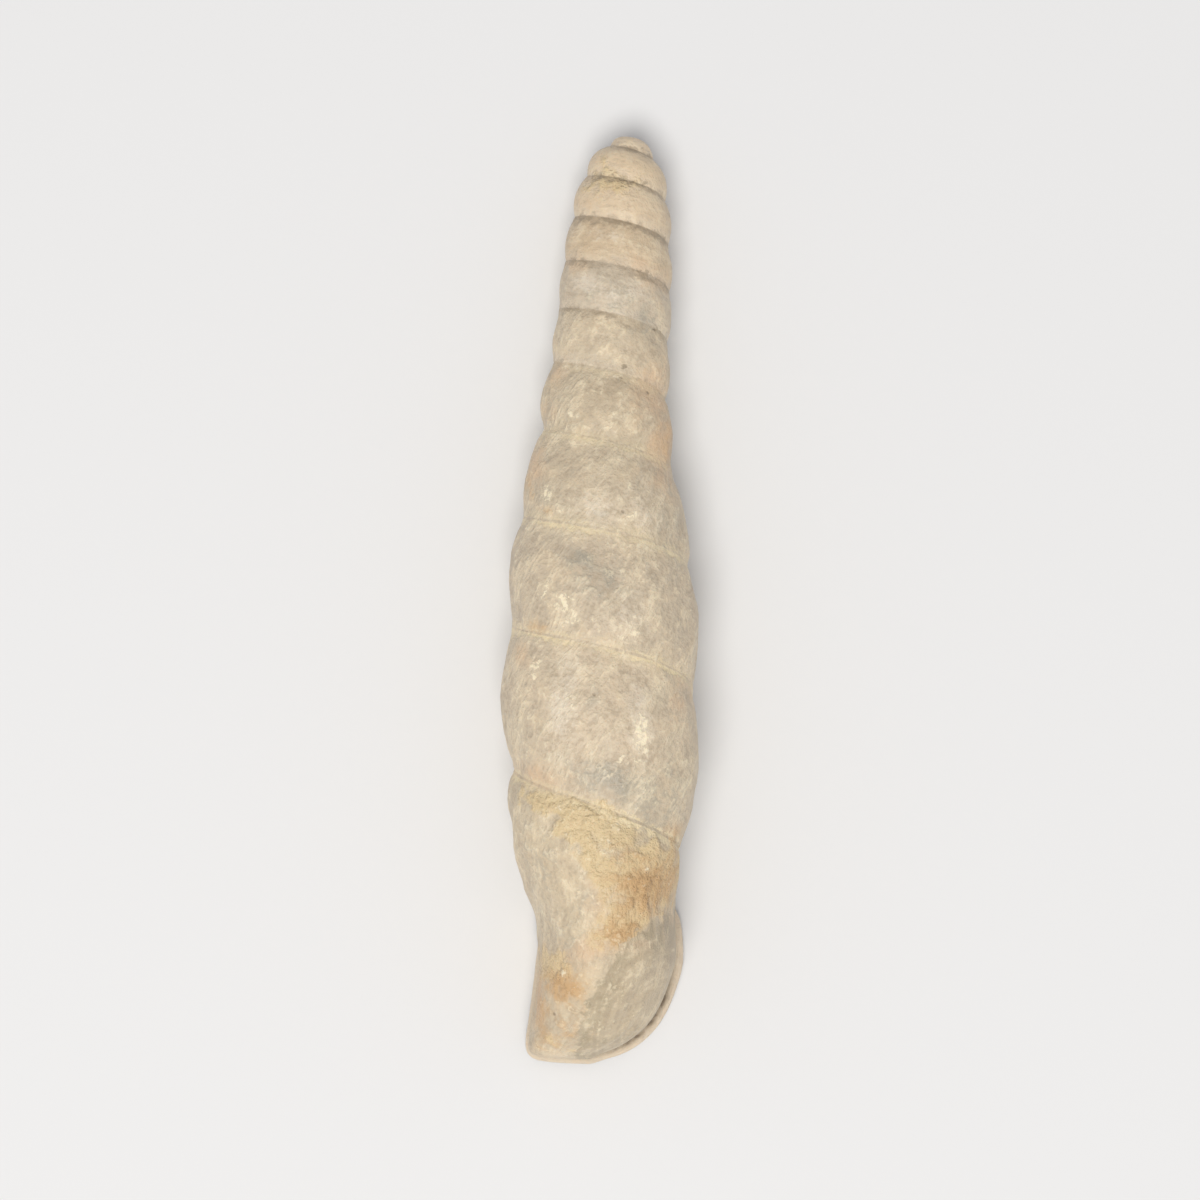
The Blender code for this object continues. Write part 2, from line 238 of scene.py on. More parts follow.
# %% Relief
LINE_LEAN = 0.55  # mm along the coil by which a line moves per mm downwards
LEAN_FADES = (WHORLS - 0.75, WHORLS)  # turns over which the lines come to follow the lip
LINES = ((0.36, 0.004), (0.83, 0.009), (2.60, 0.026))  # spacing and height of the waves
LUMPS = ((0.7, 0.004), (1.5, 0.014), (3.4, 0.022))  # size and height of the bumps
WAVERS = ((0.16, 2.6, 11), (0.05, 0.9, 12))  # how far the lines waver, over what size, seed
SMOOTH_WHORLS = (2.5, 6.0)  # turns over which the lines grow to full strength
EVEN_WHORLS = (0.5, 4.0)  # the same for the bumps
SUTURE_FADE = 0.30  # mm from a seam in which the relief dies away
EDGE_FADE = (MOUTH_PLANE - 0.6, MOUTH_PLANE - 0.1)  # the same before the mouth's edge
FILL = 0.03  # mm of lime in the bottom of a seam
FILL_REACH = 0.13
FILL_WHORLS = (1.5, 4.5)  # turns over which the seams fill up
WAVES = 26  # cosines in each bump field
WAVE_RANGE = (0.7, 1.4)  # shares of the main frequency that they are drawn from
LINE_STRENGTH = (0.65, 0.45, 2.2)  # a wave's mean strength, its spread, and over what size
LINE_SEED = 20
LUMP_SEED = 30


def soft_noise(places, wavelength, seed):
    """Smooth bumps of about unit height: a sum of cosines in random directions."""
    draw = np.random.default_rng(seed)
    directions = draw.normal(size=(WAVES, 3))
    directions /= np.linalg.norm(directions, axis=1, keepdims=True)
    directions *= draw.uniform(*WAVE_RANGE, size=(WAVES, 1)) * 2.0 * np.pi / wavelength
    shifts = draw.uniform(0.0, 2.0 * np.pi, size=WAVES)
    return np.cos(places @ directions.T + shifts).sum(axis=-1) * math.sqrt(2.0 / WAVES)


def relief(places, phase, turn, fade):
    """Height over the smooth wall in mm: leaning waves that waver, and soft lumps."""
    waver = sum(reach * soft_noise(places, size, seed) for reach, size, seed in WAVERS)
    mean, spread, patch_size = LINE_STRENGTH
    lines = np.zeros(phase.shape)
    for number, (spacing, height) in enumerate(LINES):
        strength = mean + spread * soft_noise(places, patch_size, LINE_SEED + number)
        lines += height * strength * np.cos(2.0 * np.pi * (phase + waver) / spacing + number)
    lines *= smooth_step(turn, *SMOOTH_WHORLS)
    lumps = sum(height * soft_noise(places, size, LUMP_SEED + number)
                for number, (size, height) in enumerate(LUMPS))
    return (lines + lumps * smooth_step(turn, *EVEN_WHORLS)) * fade


def seam_fill(below, above, turn):
    """Lime that fills the bottom of a seam: exp(-(d/reach)^2) of the distance to it."""
    near = np.minimum(below, above)
    return FILL * np.exp(-(near / FILL_REACH) ** 2) * smooth_step(turn, *FILL_WHORLS)


print("the waves add up to", round(sum(height for spacing, height in LINES), 3), "mm")

# %% Growth distance
COLUMNS = 320  # columns in each turn
column_turn = np.arange((WHORLS + 1) * COLUMNS + round(PAST_SIDE * COLUMNS) + 1) / COLUMNS - 1.0
mid_radius = (suture_radius(column_turn) + suture_radius(column_turn + 1.0)) / 2.0
growth = np.cumsum(2.0 * np.pi * mid_radius / COLUMNS)
print("the tube is", round(float(growth[-1])), "mm long at mid wall")

# %% [markdown]
# ## One strip from apex to mouth
# The lower edge of each turn is the upper edge of the next, so both use the same vertices and
# the seams close by themselves. Rows crowd towards the seams, where the form is tightest. The
# direction straight out of the wall comes from small steps along both parameters.

# %% The strip
ROWS = 18  # from seam to seam
CROWDING = 0.50  # how strongly rows crowd towards the seams
SMALL = 1e-4  # step that a direction is measured over
NECK_TURNS = (WHORLS - 0.75, WHORLS - 0.5)  # turns over which the wall comes to be neck
NO_SEAM = 9.0  # mm that stand for no seam near


def outwards(surface, first, second):
    """Unit normals: the cross product of differences; the second parameter runs downwards."""
    over = surface(first, second + SMALL) - surface(first, second - SMALL)
    ahead = surface(first + SMALL, second) - surface(first - SMALL, second)
    normal = np.cross(over, ahead)
    return normal / np.maximum(np.linalg.norm(normal, axis=-1, keepdims=True), 1e-12)


evenly = np.arange(ROWS + 1) / ROWS
rows = evenly - CROWDING * np.sin(2.0 * np.pi * evenly) / (2.0 * np.pi)
turn, across = np.broadcast_arrays(column_turn[:, None], rows[None, :])
wall = wall_point(turn, across)
whorl_height = (suture_height(column_turn) - suture_height(column_turn + 1.0))[:, None]
below = across * whorl_height
on_neck = smooth_step(turn, *NECK_TURNS)
above = (1.0 - across) * whorl_height + on_neck * NO_SEAM
line_lean = LINE_LEAN * (1.0 - smooth_step(turn, *LEAN_FADES))
phase = growth[:, None] + line_lean * below
fade = smooth_step(below, 0.0, SUTURE_FADE) * smooth_step(above, 0.0, SUTURE_FADE)
fade = fade * (1.0 - on_neck * smooth_step(wall[..., 1], *EDGE_FADE))
lift = relief(wall, phase, turn, fade) + seam_fill(below, above, turn) * (1.0 - on_neck)
wall = wall + outwards(wall_point, turn, across) * lift[..., None]

strip_numbers = np.arange(turn.size).reshape(turn.shape)
strip_numbers[:COLUMNS + 1, 0] = 0
strip_numbers[0, :] = 0
strip_numbers[:-COLUMNS, ROWS] = strip_numbers[COLUMNS:, 0]
print("strip:", turn.shape, "grid")

# %% [markdown]
# ## The hood
# Below the strip the back of the neck is still open. A second grid hangs from the strip's free
# edge and narrows to one point at the foot of the mouth.

# %% The hood
HOOD_ROWS = 40
HOOD_CROWDING = 1.5  # how strongly rows crowd towards the foot
FOOT_FADE = (FOOT, 1.2)  # heights over which the relief rises from the foot


def neck_by_depth(turn, depth):
    """The neck's wall with its second parameter running downwards, as the strip's does."""
    return neck_point(turn, -depth)


hood_columns = COLUMNS // 2 + round(PAST_SIDE * COLUMNS) + 1
top_numbers = strip_numbers[-hood_columns:, ROWS]
top_points = wall.reshape(-1, 3)[top_numbers]
left_over = (1.0 - np.arange(1, HOOD_ROWS) / HOOD_ROWS)[None, :] ** HOOD_CROWDING
hood_height = FOOT + (top_points[:, 2:] - FOOT) * left_over
hood_turn = np.broadcast_to(column_turn[-hood_columns:, None], hood_height.shape)
hood = neck_point(hood_turn, hood_height)
hood_below = below[-hood_columns:, -1:] + top_points[:, 2:] - hood_height
hood_lean = line_lean[-hood_columns:, -1:]
hood_phase = growth[-hood_columns:, None] + hood_lean * hood_below
hood_fade = smooth_step(hood_height, *FOOT_FADE) * (1.0 - smooth_step(hood[..., 1], *EDGE_FADE))
hood_relief = relief(hood, hood_phase, hood_turn, hood_fade)
hood = hood + outwards(neck_by_depth, hood_turn, -hood_height) * hood_relief[..., None]
foot = np.array([[FOOT_SIDE, MOUTH_PLANE, FOOT]])

first_hood = turn.size
hood_numbers = first_hood + np.arange(hood_turn.size).reshape(hood_turn.shape)
foot_number = first_hood + hood_turn.size
feet = np.full((hood_columns, 1), foot_number)
hood_numbers = np.hstack([top_numbers[:, None], hood_numbers, feet])
outside = np.vstack([wall.reshape(-1, 3), hood.reshape(-1, 3), foot])
print("hood:", hood_turn.shape, "grid")

# %% [markdown]
# ## Collar, lip and throat
# A full-grown door snail turns the edge of its tube outwards as a lip, on a short collar. Both
# are one closed loop, the edge of the wall, carried forward while it moves out, round and back
# in. The loop is smoothed on the way, because the real rim has no sharp corner, and the
# directions outwards come from a still smoother loop, so that they don't cross. Then the loop
# runs on into the whorl as a throat, where three folds stand in its wall: they guide the little
# door that gives the animal its name.

# %% The mouth's edge
right_edge = np.concatenate([strip_numbers[-1, :-1], hood_numbers[-1]])
left_edge = hood_numbers[0, -2::-1]
over_edge = strip_numbers[-hood_columns - 1:-COLUMNS - 1:-1, ROWS]
edge_numbers = np.concatenate([right_edge, left_edge, over_edge])
edge = outside[edge_numbers]
print("mouth edge:", len(edge), "points")

# %% Smoothing a loop
LOOP_SAMPLES = 1024


def loop_lengths(loop):
    """Distance round a closed loop at each point, and its whole length."""
    steps = np.linalg.norm(np.roll(loop, -1, axis=0) - loop, axis=1)
    return np.concatenate(([0.0], np.cumsum(steps)[:-1])), steps.sum()


def smoothed_loop(loop, reach):
    """The loop blurred by a bell curve of that reach in mm, by way of its Fourier sum."""
    at, length = loop_lengths(loop)
    even = np.arange(LOOP_SAMPLES) * length / LOOP_SAMPLES
    sampled = np.stack([np.interp(even, at, loop[:, axis], period=length) for axis in range(3)])
    waves = 2.0 * np.pi * np.fft.rfftfreq(LOOP_SAMPLES, d=length / LOOP_SAMPLES)
    blurred = np.fft.irfft(np.fft.rfft(sampled) * np.exp(-(waves * reach) ** 2 / 2.0))
    return np.stack([np.interp(at, even, line, period=length) for line in blurred], axis=-1)


print("mouth edge:", round(float(loop_lengths(edge)[1]), 2), "mm round")

# %% Profile of the lip
# Each pair says how far out and how far forward of the wall's edge, from edge to throat.
LIP = ((0.0, 0.0), (-0.03, 0.40), (-0.05, 0.85), (-0.01, 1.18), (0.12, 1.34), (0.25, 1.44),
       (0.31, 1.56), (0.29, 1.70), (0.14, 1.80), (-0.04, 1.72), (-0.17, 1.45), (-0.22, 0.90))
LIP_ROWS = 30
LIP_ROUNDS = (0.0, 0.9)  # distances along the profile over which the loop is smoothed
LIP_LEVELS = (0.0, 0.45)  # and over which it comes into one plane
CORNER_ROUNDING = 0.16  # mm over which the rim's corners are rounded
CALMING = 0.5  # mm over which the directions round the loop are evened out
NARROW_LIP = 0.5  # share of the lip's reach on the left
WIDENS = (-1.0, 1.4)  # from where to where it grows wider to the right
PARIETAL_SPREAD = 0.1  # share of it that is left against the whorl
SPREAD_FADES = (3.3, 4.4)  # heights over which it narrows to that
SPREAD_LEAN = 0.31  # how much higher up the lip stays wide, per mm to the right
SPREAD_FROM = -2.0  # counted from this side
RECESSES = ((0.26, 3.6, 5.0), (0.75, 5.0, 6.9))  # mm of set-back that come between two heights

lip_out, lip_forward = (np.array(column) for column in zip(*LIP))
lip_run = np.concatenate(([0.0], np.cumsum(np.hypot(np.diff(lip_out), np.diff(lip_forward)))))
lip_at = np.linspace(0.0, lip_run[-1], LIP_ROWS + 1)[1:, None]
print("the lip's profile is", round(float(lip_run[-1]), 2), "mm long")

# %% Collar and lip
rounder = smoothed_loop(edge, CORNER_ROUNDING)
calmer = smoothed_loop(edge, CALMING)
ahead = np.roll(calmer, -1, axis=0) - np.roll(calmer, 1, axis=0)
away = np.stack([-ahead[:, 2], np.zeros(len(edge)), ahead[:, 0]], axis=-1)
away *= np.sign(np.sum(away * (rounder - rounder.mean(axis=0)), axis=1).mean())
away /= np.linalg.norm(away, axis=1, keepdims=True)

lean_height = rounder[:, 2] - SPREAD_LEAN * (rounder[:, 0] - SPREAD_FROM)
against_whorl = smooth_step(lean_height, *SPREAD_FADES)[None, :]
set_back = sum(depth * smooth_step(rounder[None, :, 2], low, high)
               for depth, low, high in RECESSES)
reach_out = curve_through(lip_run, lip_out, lip_at)
widening = NARROW_LIP + (1.0 - NARROW_LIP) * smooth_step(rounder[:, 0], *WIDENS)[None, :]
held_in = widening * (1.0 - (1.0 - PARIETAL_SPREAD) * against_whorl)
spread = np.where(reach_out > 0.0, held_in, 1.0)
rounding = smooth_step(lip_at, *LIP_ROUNDS)[..., None]
lip = edge + (rounder - edge) * rounding + away * (reach_out * spread)[..., None]
level = MOUTH_PLANE + curve_through(lip_run, lip_forward, lip_at) - set_back
from_edge = smooth_step(lip_at, *LIP_LEVELS)
lip[..., 1] = lip[..., 1] * (1.0 - from_edge) + level * from_edge
print("lip:", lip.shape[:2], "grid")

# %% Throat with its folds
# A fold has its bearing in degrees, half its width in degrees and its height in mm. A row of
# the throat has the middle's side, depth and height, half the width and half the height.
FOLDS = ((68.0, 8.0, 0.55), (152.0, 10.0, 0.55), (200.0, 9.0, 0.32))
FOLDS_RISE = (-0.6, 1.2)  # rows of the table over which the folds grow
THROAT = ((0.12, 2.30, 3.44, 1.72, 2.48), (0.14, 1.50, 3.54, 1.68, 2.44),
          (0.17, 0.60, 3.84, 1.62, 2.38), (0.15, -0.40, 4.30, 1.42, 2.22),
          (0.05, -1.20, 4.95, 1.15, 1.90), (-0.05, -1.75, 5.60, 0.75, 1.30))
THROAT_END = (-0.10, -2.05, 6.05)
THROAT_ROWS = 20
RECESS_FADES = (0.0, 2.0)  # rows of the table over which the rim's set-back dies away

stage_number = np.arange(len(THROAT), dtype=float)
stage_at = np.linspace(0.0, len(THROAT) - 1.0, THROAT_ROWS)[:, None]
side, forward, height, half_width, half_height = (
    curve_through(stage_number, column, stage_at) for column in zip(*THROAT))
rim = lip[-1]
calm = smoothed_loop(rim, CALMING)
bearing = np.arctan2(calm[:, 2] - calm[:, 2].mean(), calm[:, 0] - calm[:, 0].mean())[None, :]
ridge = np.zeros(bearing.shape)
for towards, half_angle, rise in FOLDS:
    off = np.remainder(np.degrees(bearing) - towards + 180.0, 360.0) - 180.0
    ridge += rise * np.exp(-(off / half_angle) ** 2)
ridge = ridge * smooth_step(stage_at, *FOLDS_RISE) * half_width / THROAT[0][3]
throat = np.stack([side + (half_width - ridge) * np.cos(bearing),
                   forward - set_back * (1.0 - smooth_step(stage_at, *RECESS_FADES)),
                   height + (half_height - ridge) * np.sin(bearing)], axis=-1)
print("throat:", throat.shape[:2], "grid")

# %% [markdown]
# ## One closed mesh
# One rule gives the quads of every grid and the values that each corner carries, for two UV
# maps: growth, in millimetres across and along the growth lines, and suture, the distances
# below the seam above and above the seam below. Where a quad names one vertex twice, as at the
# apex, the repeat is dropped, and a triangle is left.

# %% Quads and the values on their corners
RING_STEP = 0.12  # mm from ring to ring in the growth map
RING_GROWTH = 400.0  # where that map starts for the lip, far past the strip's end
FOOT_STEP = 0.3  # mm from the hood's last row to the foot in the suture map


def corners(grid):
    """The four values round each cell of a grid: (i,j), (i,j+1), (i+1,j+1), (i+1,j)."""
    a, b = grid[:-1, :-1], grid[:-1, 1:]
    c, d = grid[1:, 1:], grid[1:, :-1]
    return np.stack([a, b, c, d], axis=-1).reshape(-1, 4)


def around(grid):
    """Close a grid of rings by repeating its first column at the end."""
    return np.hstack([grid, grid[:, :1]])


first_inner = len(outside)
inner = np.vstack([lip.reshape(-1, 3), throat.reshape(-1, 3), [THROAT_END]])
ring_count = LIP_ROWS + THROAT_ROWS
inner_numbers = first_inner + np.arange(ring_count * len(edge)).reshape(ring_count, -1)
ends = np.full((1, len(edge)), first_inner + len(inner) - 1)
ring_numbers = around(np.vstack([edge_numbers[None, :], inner_numbers, ends]))

round_edge, edge_length = loop_lengths(edge)
ring_growth, ring_along = np.meshgrid(
    RING_GROWTH + RING_STEP * np.arange(len(ring_numbers)), np.append(round_edge, edge_length),
    indexing="ij")

hood_low = np.hstack([below[-hood_columns:, -1:], hood_below, hood_below[:, -1:] + FOOT_STEP])
hood_grow = growth[-hood_columns:, None] + hood_lean * hood_low
hood_far, ring_far = np.full(hood_low.shape, NO_SEAM), np.full(ring_growth.shape, NO_SEAM)
grids = ((strip_numbers, phase, below, below, above),
         (hood_numbers, hood_grow, hood_low, hood_low, hood_far),
         (ring_numbers, ring_growth, ring_along, ring_far, ring_far))
quads, grow_u, grow_v, suture_u, suture_v = (
    np.vstack([corners(grid[part]) for grid in grids]) for part in range(5))
keep = quads != np.roll(quads, 1, axis=1)
whole = keep.sum(axis=1) > 2
keep = keep & whole[:, None]
points = np.vstack([outside, inner])
print("faces:", int(whole.sum()), "triangles:", int((keep.sum(axis=1) - 2)[whole].sum()))

# %% [markdown]
# ## Lay the shell down
# It rests on two points of its lip and one whorl near its middle, with its back up. The turns
# are the ones that the CAD model rests at, and the shell then goes to the CAD model's place.

# %% Rest pose
REST_PITCH = -4.99  # degrees
REST_ROLL = -0.52
lay = (Matrix.Rotation(math.radians(REST_ROLL), 3, "Y")
       @ Matrix.Rotation(math.radians(REST_PITCH), 3, "X")
       @ Matrix.Rotation(math.radians(-90.0), 3, "X"))
turned = points @ np.array(lay).T * MM
used = np.unique(quads[whole])
low, high = turned[used].min(axis=0), turned[used].max(axis=0)
box_low, box_high = (np.array(corner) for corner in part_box("shell"))
shift = (box_low + box_high - low - high) / 2.0
shift[2] = box_low[2] - low[2]


def laid(point):
    """Where a point of the standing shell, in mm, lies in the row frame."""
    return lay @ Vector(point) * MM + Vector(shift)


print("size in mm:", np.round((high - low) / MM, 2))

# %% Put the arrays into a mesh
# foreach_set hands a whole array to Blender at once, with no loop over vertices.
place = np.zeros(len(points), dtype=int)
place[used] = np.arange(len(used))
loops = place[quads[keep]]
starts = np.concatenate([[0], np.cumsum(keep.sum(axis=1)[whole])[:-1]])
mesh = bpy.data.meshes.new("shell_wall")
mesh.vertices.add(len(used))
mesh.vertices.foreach_set("co", (turned[used] + shift).ravel())
mesh.loops.add(len(loops))
mesh.loops.foreach_set("vertex_index", loops)
mesh.polygons.add(len(starts))
mesh.polygons.foreach_set("loop_start", starts)
mesh.update(calc_edges=True)
for name, across_map, down_map in (("growth", grow_u, grow_v), ("suture", suture_u, suture_v)):
    layer = mesh.uv_layers.new(name=name)
    values = np.stack([across_map[keep], down_map[keep]], axis=-1)
    layer.data.foreach_set("uv", values.astype(np.float32).ravel())
mesh.shade_smooth()
print("mesh valid as made:", not mesh.validate(), len(mesh.polygons), "faces")

# %% [markdown]
# ## Marks of age
# An empty shell weathers. It wears thin and lets grey show, flakes of chalk come up, soil leaves
# cream, ochre and peach stains, and a few pits open. Their places are chance, so they can't come
# from a formula. Light is painted in too: one kind of mark is painted highlight, pale patches
# where the whorls catch the light, some chalk marks are painted glints, and one grey mark is
# painted shade. A painted image would tie them to one texture, so each mark is a soft oval,
# listed one by one: side and height of its middle, half width and half height, all in
# millimetres on the shell, then lean in degrees and strength. Kinds are kept apart as
# attributes, and the material breaks up their edges. The mouth side gets random marks. The last
# kind, late, is the stretch that grew last, before the lip.

# %% Listed marks on the back
MARKS = {
    "cream": (
        (-1.2, 8.55, 1.6, 0.34, -10, 0.9), (0.3, 7.75, 1.2, 0.7, -28, 1.0),
        (-0.6, 7.6, 1.0, 0.5, -20, 0.7), (0.2, 6.6, 0.9, 0.5, -40, 0.8),
        (1.4, 6.3, 1.3, 1.2, -20, 1.0), (0.9, 4.8, 1.2, 0.7, 34, 0.8),
        (-1.3, 0.9, 0.9, 0.5, 0, 0.3), (-0.3, 0.55, 0.9, 0.3, 0, 0.4),
        (0.3, 28.9, 1.1, 0.8, 0, 0.5), (-1.6, 3.4, 0.7, 0.5, 20, 0.8)),
    "ochre": (
        (1.4, 5.95, 1.15, 1.0, 0, 0.95), (2.1, 6.4, 0.6, 0.8, 10, 0.6),
        (0.7, 4.6, 0.85, 0.55, 34, 0.85), (0.6, 7.2, 0.9, 0.35, -20, 0.4),
        (0.3, 4.7, 0.7, 0.6, 34, 0.5), (-1.2, 2.7, 0.75, 0.6, 0, 0.9),
        (-1.95, 1.8, 0.35, 1.5, 3, 0.6), (-1.1, 1.2, 1.2, 0.9, 0, 0.45),
        (-0.5, 1.95, 0.18, 0.4, -10, 0.5), (2.25, 7.4, 0.4, 0.6, 0, 0.6),
        (-2.05, 14.2, 0.5, 0.3, 0, 0.45), (-2.3, 18.7, 0.3, 0.5, 10, 0.35),
        (-1.75, 17.9, 0.35, 0.2, 0, 0.35), (2.1, 20.2, 0.5, 0.9, 0, 0.35)),
    "peach": (
        (-1.9, 9.35, 1.1, 0.5, -8, 0.75), (2.5, 11.9, 0.45, 0.9, 0, 0.6),
        (-2.5, 13.4, 0.35, 0.5, 0, 0.6), (-2.0, 2.3, 0.22, 1.3, 3, 0.9),
        (-0.5, 3.9, 1.5, 0.5, 20, 0.8), (-1.7, 3.4, 0.7, 0.5, 0, 0.9),
        (-1.4, 0.9, 1.2, 0.6, 0, 0.45), (1.2, 5.6, 1.6, 1.5, 0, 0.6),
        (2.0, 20.0, 0.8, 1.5, 0, 0.85), (-1.95, 21.2, 0.5, 0.5, 0, 0.5),
        (2.45, 5.9, 0.25, 0.7, 0, 0.7), (1.0, 26.0, 1.3, 0.45, -10, 0.5),
        (-2.3, 19.4, 0.6, 1.0, 0, 0.6), (1.7, 21.8, 0.7, 1.1, 0, 0.8),
        (1.8, 25.4, 0.5, 0.5, 0, 0.6), (-1.4, 22.6, 0.6, 0.6, 0, 0.5),
        (-1.0, 26.2, 0.8, 0.5, 0, 0.5), (-0.6, 28.2, 0.6, 0.4, 0, 0.4)),
    "grey": (
        (-0.65, 16.35, 0.65, 0.35, -12, 1.0), (-0.05, 17.8, 0.28, 0.16, 0, 0.9),
        (0.0, 15.6, 1.0, 0.6, -20, 0.7), (2.2, 17.3, 0.6, 1.0, 0, 0.4),
        (0.25, 25.0, 1.7, 0.55, -6, 0.45), (1.3, 24.2, 0.6, 0.5, 0, 0.6),
        (-2.0, 6.9, 0.55, 1.3, 12, 0.5), (-0.25, 12.6, 0.32, 1.5, -3, 0.35),
        (-0.6, 19.2, 1.2, 0.5, -5, 0.3), (2.3, 9.0, 0.5, 1.5, 8, 0.4),
        (-1.2, 20.9, 0.9, 0.5, 0, 0.3), (0.4, 24.6, 0.35, 0.2, 0, 0.8),
        (-0.9, 4.2, 0.7, 1.0, 30, 0.3), (0.5, 9.3, 1.7, 0.6, -20, 1.0),
        (1.7, 8.3, 0.9, 0.6, -28, 0.65), (-0.4, 5.3, 0.9, 0.7, 20, 0.4),
        (0.1, 2.4, 0.5, 0.8, -30, 0.55), (0.3, 0.8, 1.2, 0.4, 10, 0.5),
        # The mark below, on the neck's foot, is painted shade: it darkens lime that faces the
        # lamp.
        (-1.1, 1.2, 0.9, 0.8, 0, 0.9)),
    # Chalk; the marks from about 10 to 21 mm up are painted glints as well, where the whorls catch
    # the light.
    "chalk_and_glints": (
        (-1.72, 18.45, 0.22, 0.22, 0, 1.0), (-1.3, 18.0, 0.35, 0.2, -20, 0.5),
        (-1.2, 14.95, 0.34, 0.34, 0, 1.0), (-1.8, 15.4, 0.15, 0.4, -12, 0.7),
        (-0.9, 14.4, 0.4, 0.25, 0, 0.6), (0.95, 17.75, 0.3, 0.18, 35, 0.8),
        (0.9, 18.75, 0.15, 0.15, 0, 0.7), (-2.1, 12.9, 0.2, 0.35, -20, 0.9),
        (1.25, 10.75, 0.28, 0.62, 8, 1.0), (-1.1, 11.7, 0.55, 0.7, -10, 0.45),
        (1.0, 14.1, 0.75, 0.5, 20, 0.5), (-1.25, 8.5, 0.2, 0.12, 0, 0.9),
        (0.45, 7.85, 0.2, 0.14, 20, 0.9), (1.4, 6.6, 0.18, 0.16, 0, 0.6),
        (0.1, 7.3, 0.42, 0.24, -10, 0.7), (0.9, 10.0, 0.7, 0.4, 10, 0.4),
        (-1.2, 3.15, 0.12, 0.12, 0, 0.8), (-1.15, 1.35, 0.4, 0.25, 0, 0.3),
        (0.0, 7.3, 0.22, 0.13, -10, 0.9), (-1.0, 21.1, 0.12, 0.12, 0, 0.9),
        (0.45, 21.0, 0.16, 0.14, 0, 0.8)),
    # Painted highlights: pale patches where the whorls catch the light.
    "painted_highlight": (
        (-0.45, 25.35, 0.5, 0.35, -5, 1.0), (0.35, 24.95, 0.45, 0.25, -20, 0.8),
        (1.0, 25.1, 0.6, 0.35, 0, 0.6), (-0.2, 17.9, 0.9, 0.7, 0, 0.5),
        (-1.2, 11.7, 0.45, 1.5, -6, 0.95), (1.2, 11.2, 0.4, 1.3, 6, 0.9),
        (0.9, 14.6, 0.6, 0.8, 0, 0.5), (1.4, 18.0, 0.6, 1.0, 10, 0.5),
        (-0.6, 22.7, 0.8, 0.4, 0, 0.5), (0.1, 26.9, 0.8, 0.3, -8, 0.4)),
    "pit": (
        (0.72, 22.62, 0.11, 0.09, 20, 1.0), (0.60, 22.24, 0.17, 0.05, 8, 0.8),
        (1.70, 23.9, 0.08, 0.06, 0, 0.8), (-0.35, 2.1, 0.05, 0.7, 4, 0.35),
        (-2.02, 3.5, 0.04, 0.25, 4, 0.6), (-0.9, 8.62, 0.3, 0.05, -14, 0.5),
        (0.3, 8.3, 0.35, 0.06, -22, 0.6), (1.05, 12.0, 0.07, 0.07, 0, 0.5)),
    "late": ((1.6, 1.4, 3.7, 2.2, 72, 1.0),),
}
print("marks of each kind:", {kind: len(marks) for kind, marks in MARKS.items()})

# %% From ovals to values on the mesh
RANDOM_MARKS = 16  # of each kind
MARK_SEED = 7
RANDOM_LIMITS = (((-2.6, 4.0), (2.6, 28.0)), ((0.2, 0.2), (1.1, 0.8)),
                 ((-30.0, 0.3), (30.0, 0.9)))  # places; half sizes; leans and strengths
FRONT_SHARE = {"pit": 0.0, "late": 0.0, "ochre": 0.5}  # strength of random marks, if not 1
MARK_SLOPE = 0.14  # heights are measured square to a plane that leans back this much
BACK_REACHES = 2.4  # how much further forward the neck still counts as back
NECK_HEIGHTS = (3.0, 7.0)  # heights over which that ends
BACK_EDGE = 0.6  # half the depth over which back turns into front


def soft_marks(places, marks):
    """Greatest of the ovals at each place: strength times exp(-r^2), r over the half sizes."""
    side, height, wide, tall, lean, strength = np.array(marks, dtype=float).T
    cos, sin = np.cos(np.radians(lean)), np.sin(np.radians(lean))
    right, up = places[:, :1] - side, places[:, 2:] - MARK_SLOPE * places[:, 1:2] - height
    u = (right * cos + up * sin) / wide
    v = (up * cos - right * sin) / tall
    return (strength * np.exp(-(u * u + v * v))).max(axis=1)


def carry(name, values):
    """Store one number a point on the mesh, under a name that the material reads."""
    layer = mesh.attributes.new(name, "FLOAT", "POINT")
    layer.data.foreach_set("value", values.astype(np.float32))


draw = np.random.default_rng(MARK_SEED)
standing = points[used]
back_reaches = BACK_REACHES * (1.0 - smooth_step(standing[:, 2], *NECK_HEIGHTS))
on_back = smooth_step(back_reaches - standing[:, 1], -BACK_EDGE, BACK_EDGE)
for kind, marks in MARKS.items():
    random_marks = np.hstack([draw.uniform(*limits, size=(RANDOM_MARKS, 2))
                              for limits in RANDOM_LIMITS])
    front = soft_marks(standing, random_marks) * FRONT_SHARE.get(kind, 1.0)
    back = soft_marks(standing, marks)
    mark = back * (1.0 if kind == "late" else on_back) + front * (1.0 - on_back)
    carry(kind, mark)
    print(kind, "marks cover", round(float((mark > 0.3).mean() * 100), 1), "% of the points")

# %% Age of the wall, and what is lip or throat
LIP_CREAM_FROM = (1.1, 1.5)  # distances along the lip's profile over which its cream begins
# The groove gets painted shade: the lime behind the lip is darkened there.
GROOVE_STARTS = (0.7, 1.1)  # the same for the dark groove behind the lip
GROOVE_ENDS = (1.36, 1.48)  # and where it stops
GROOVE_SIDE = (-0.6, 1.2)  # from where to where it grows darker to the right
GROOVE_TOP = (2.6, 3.6)  # heights where it dies out


def on_rings(values, throat_value):
    """Values for all points: nothing outside, a grid on the lip, one number in the throat."""
    on_lip = np.broadcast_to(values, lip.shape[:2]).ravel()
    in_throat = np.full(len(inner) - len(on_lip), throat_value)
    return np.concatenate([np.zeros(len(outside)), on_lip, in_throat])


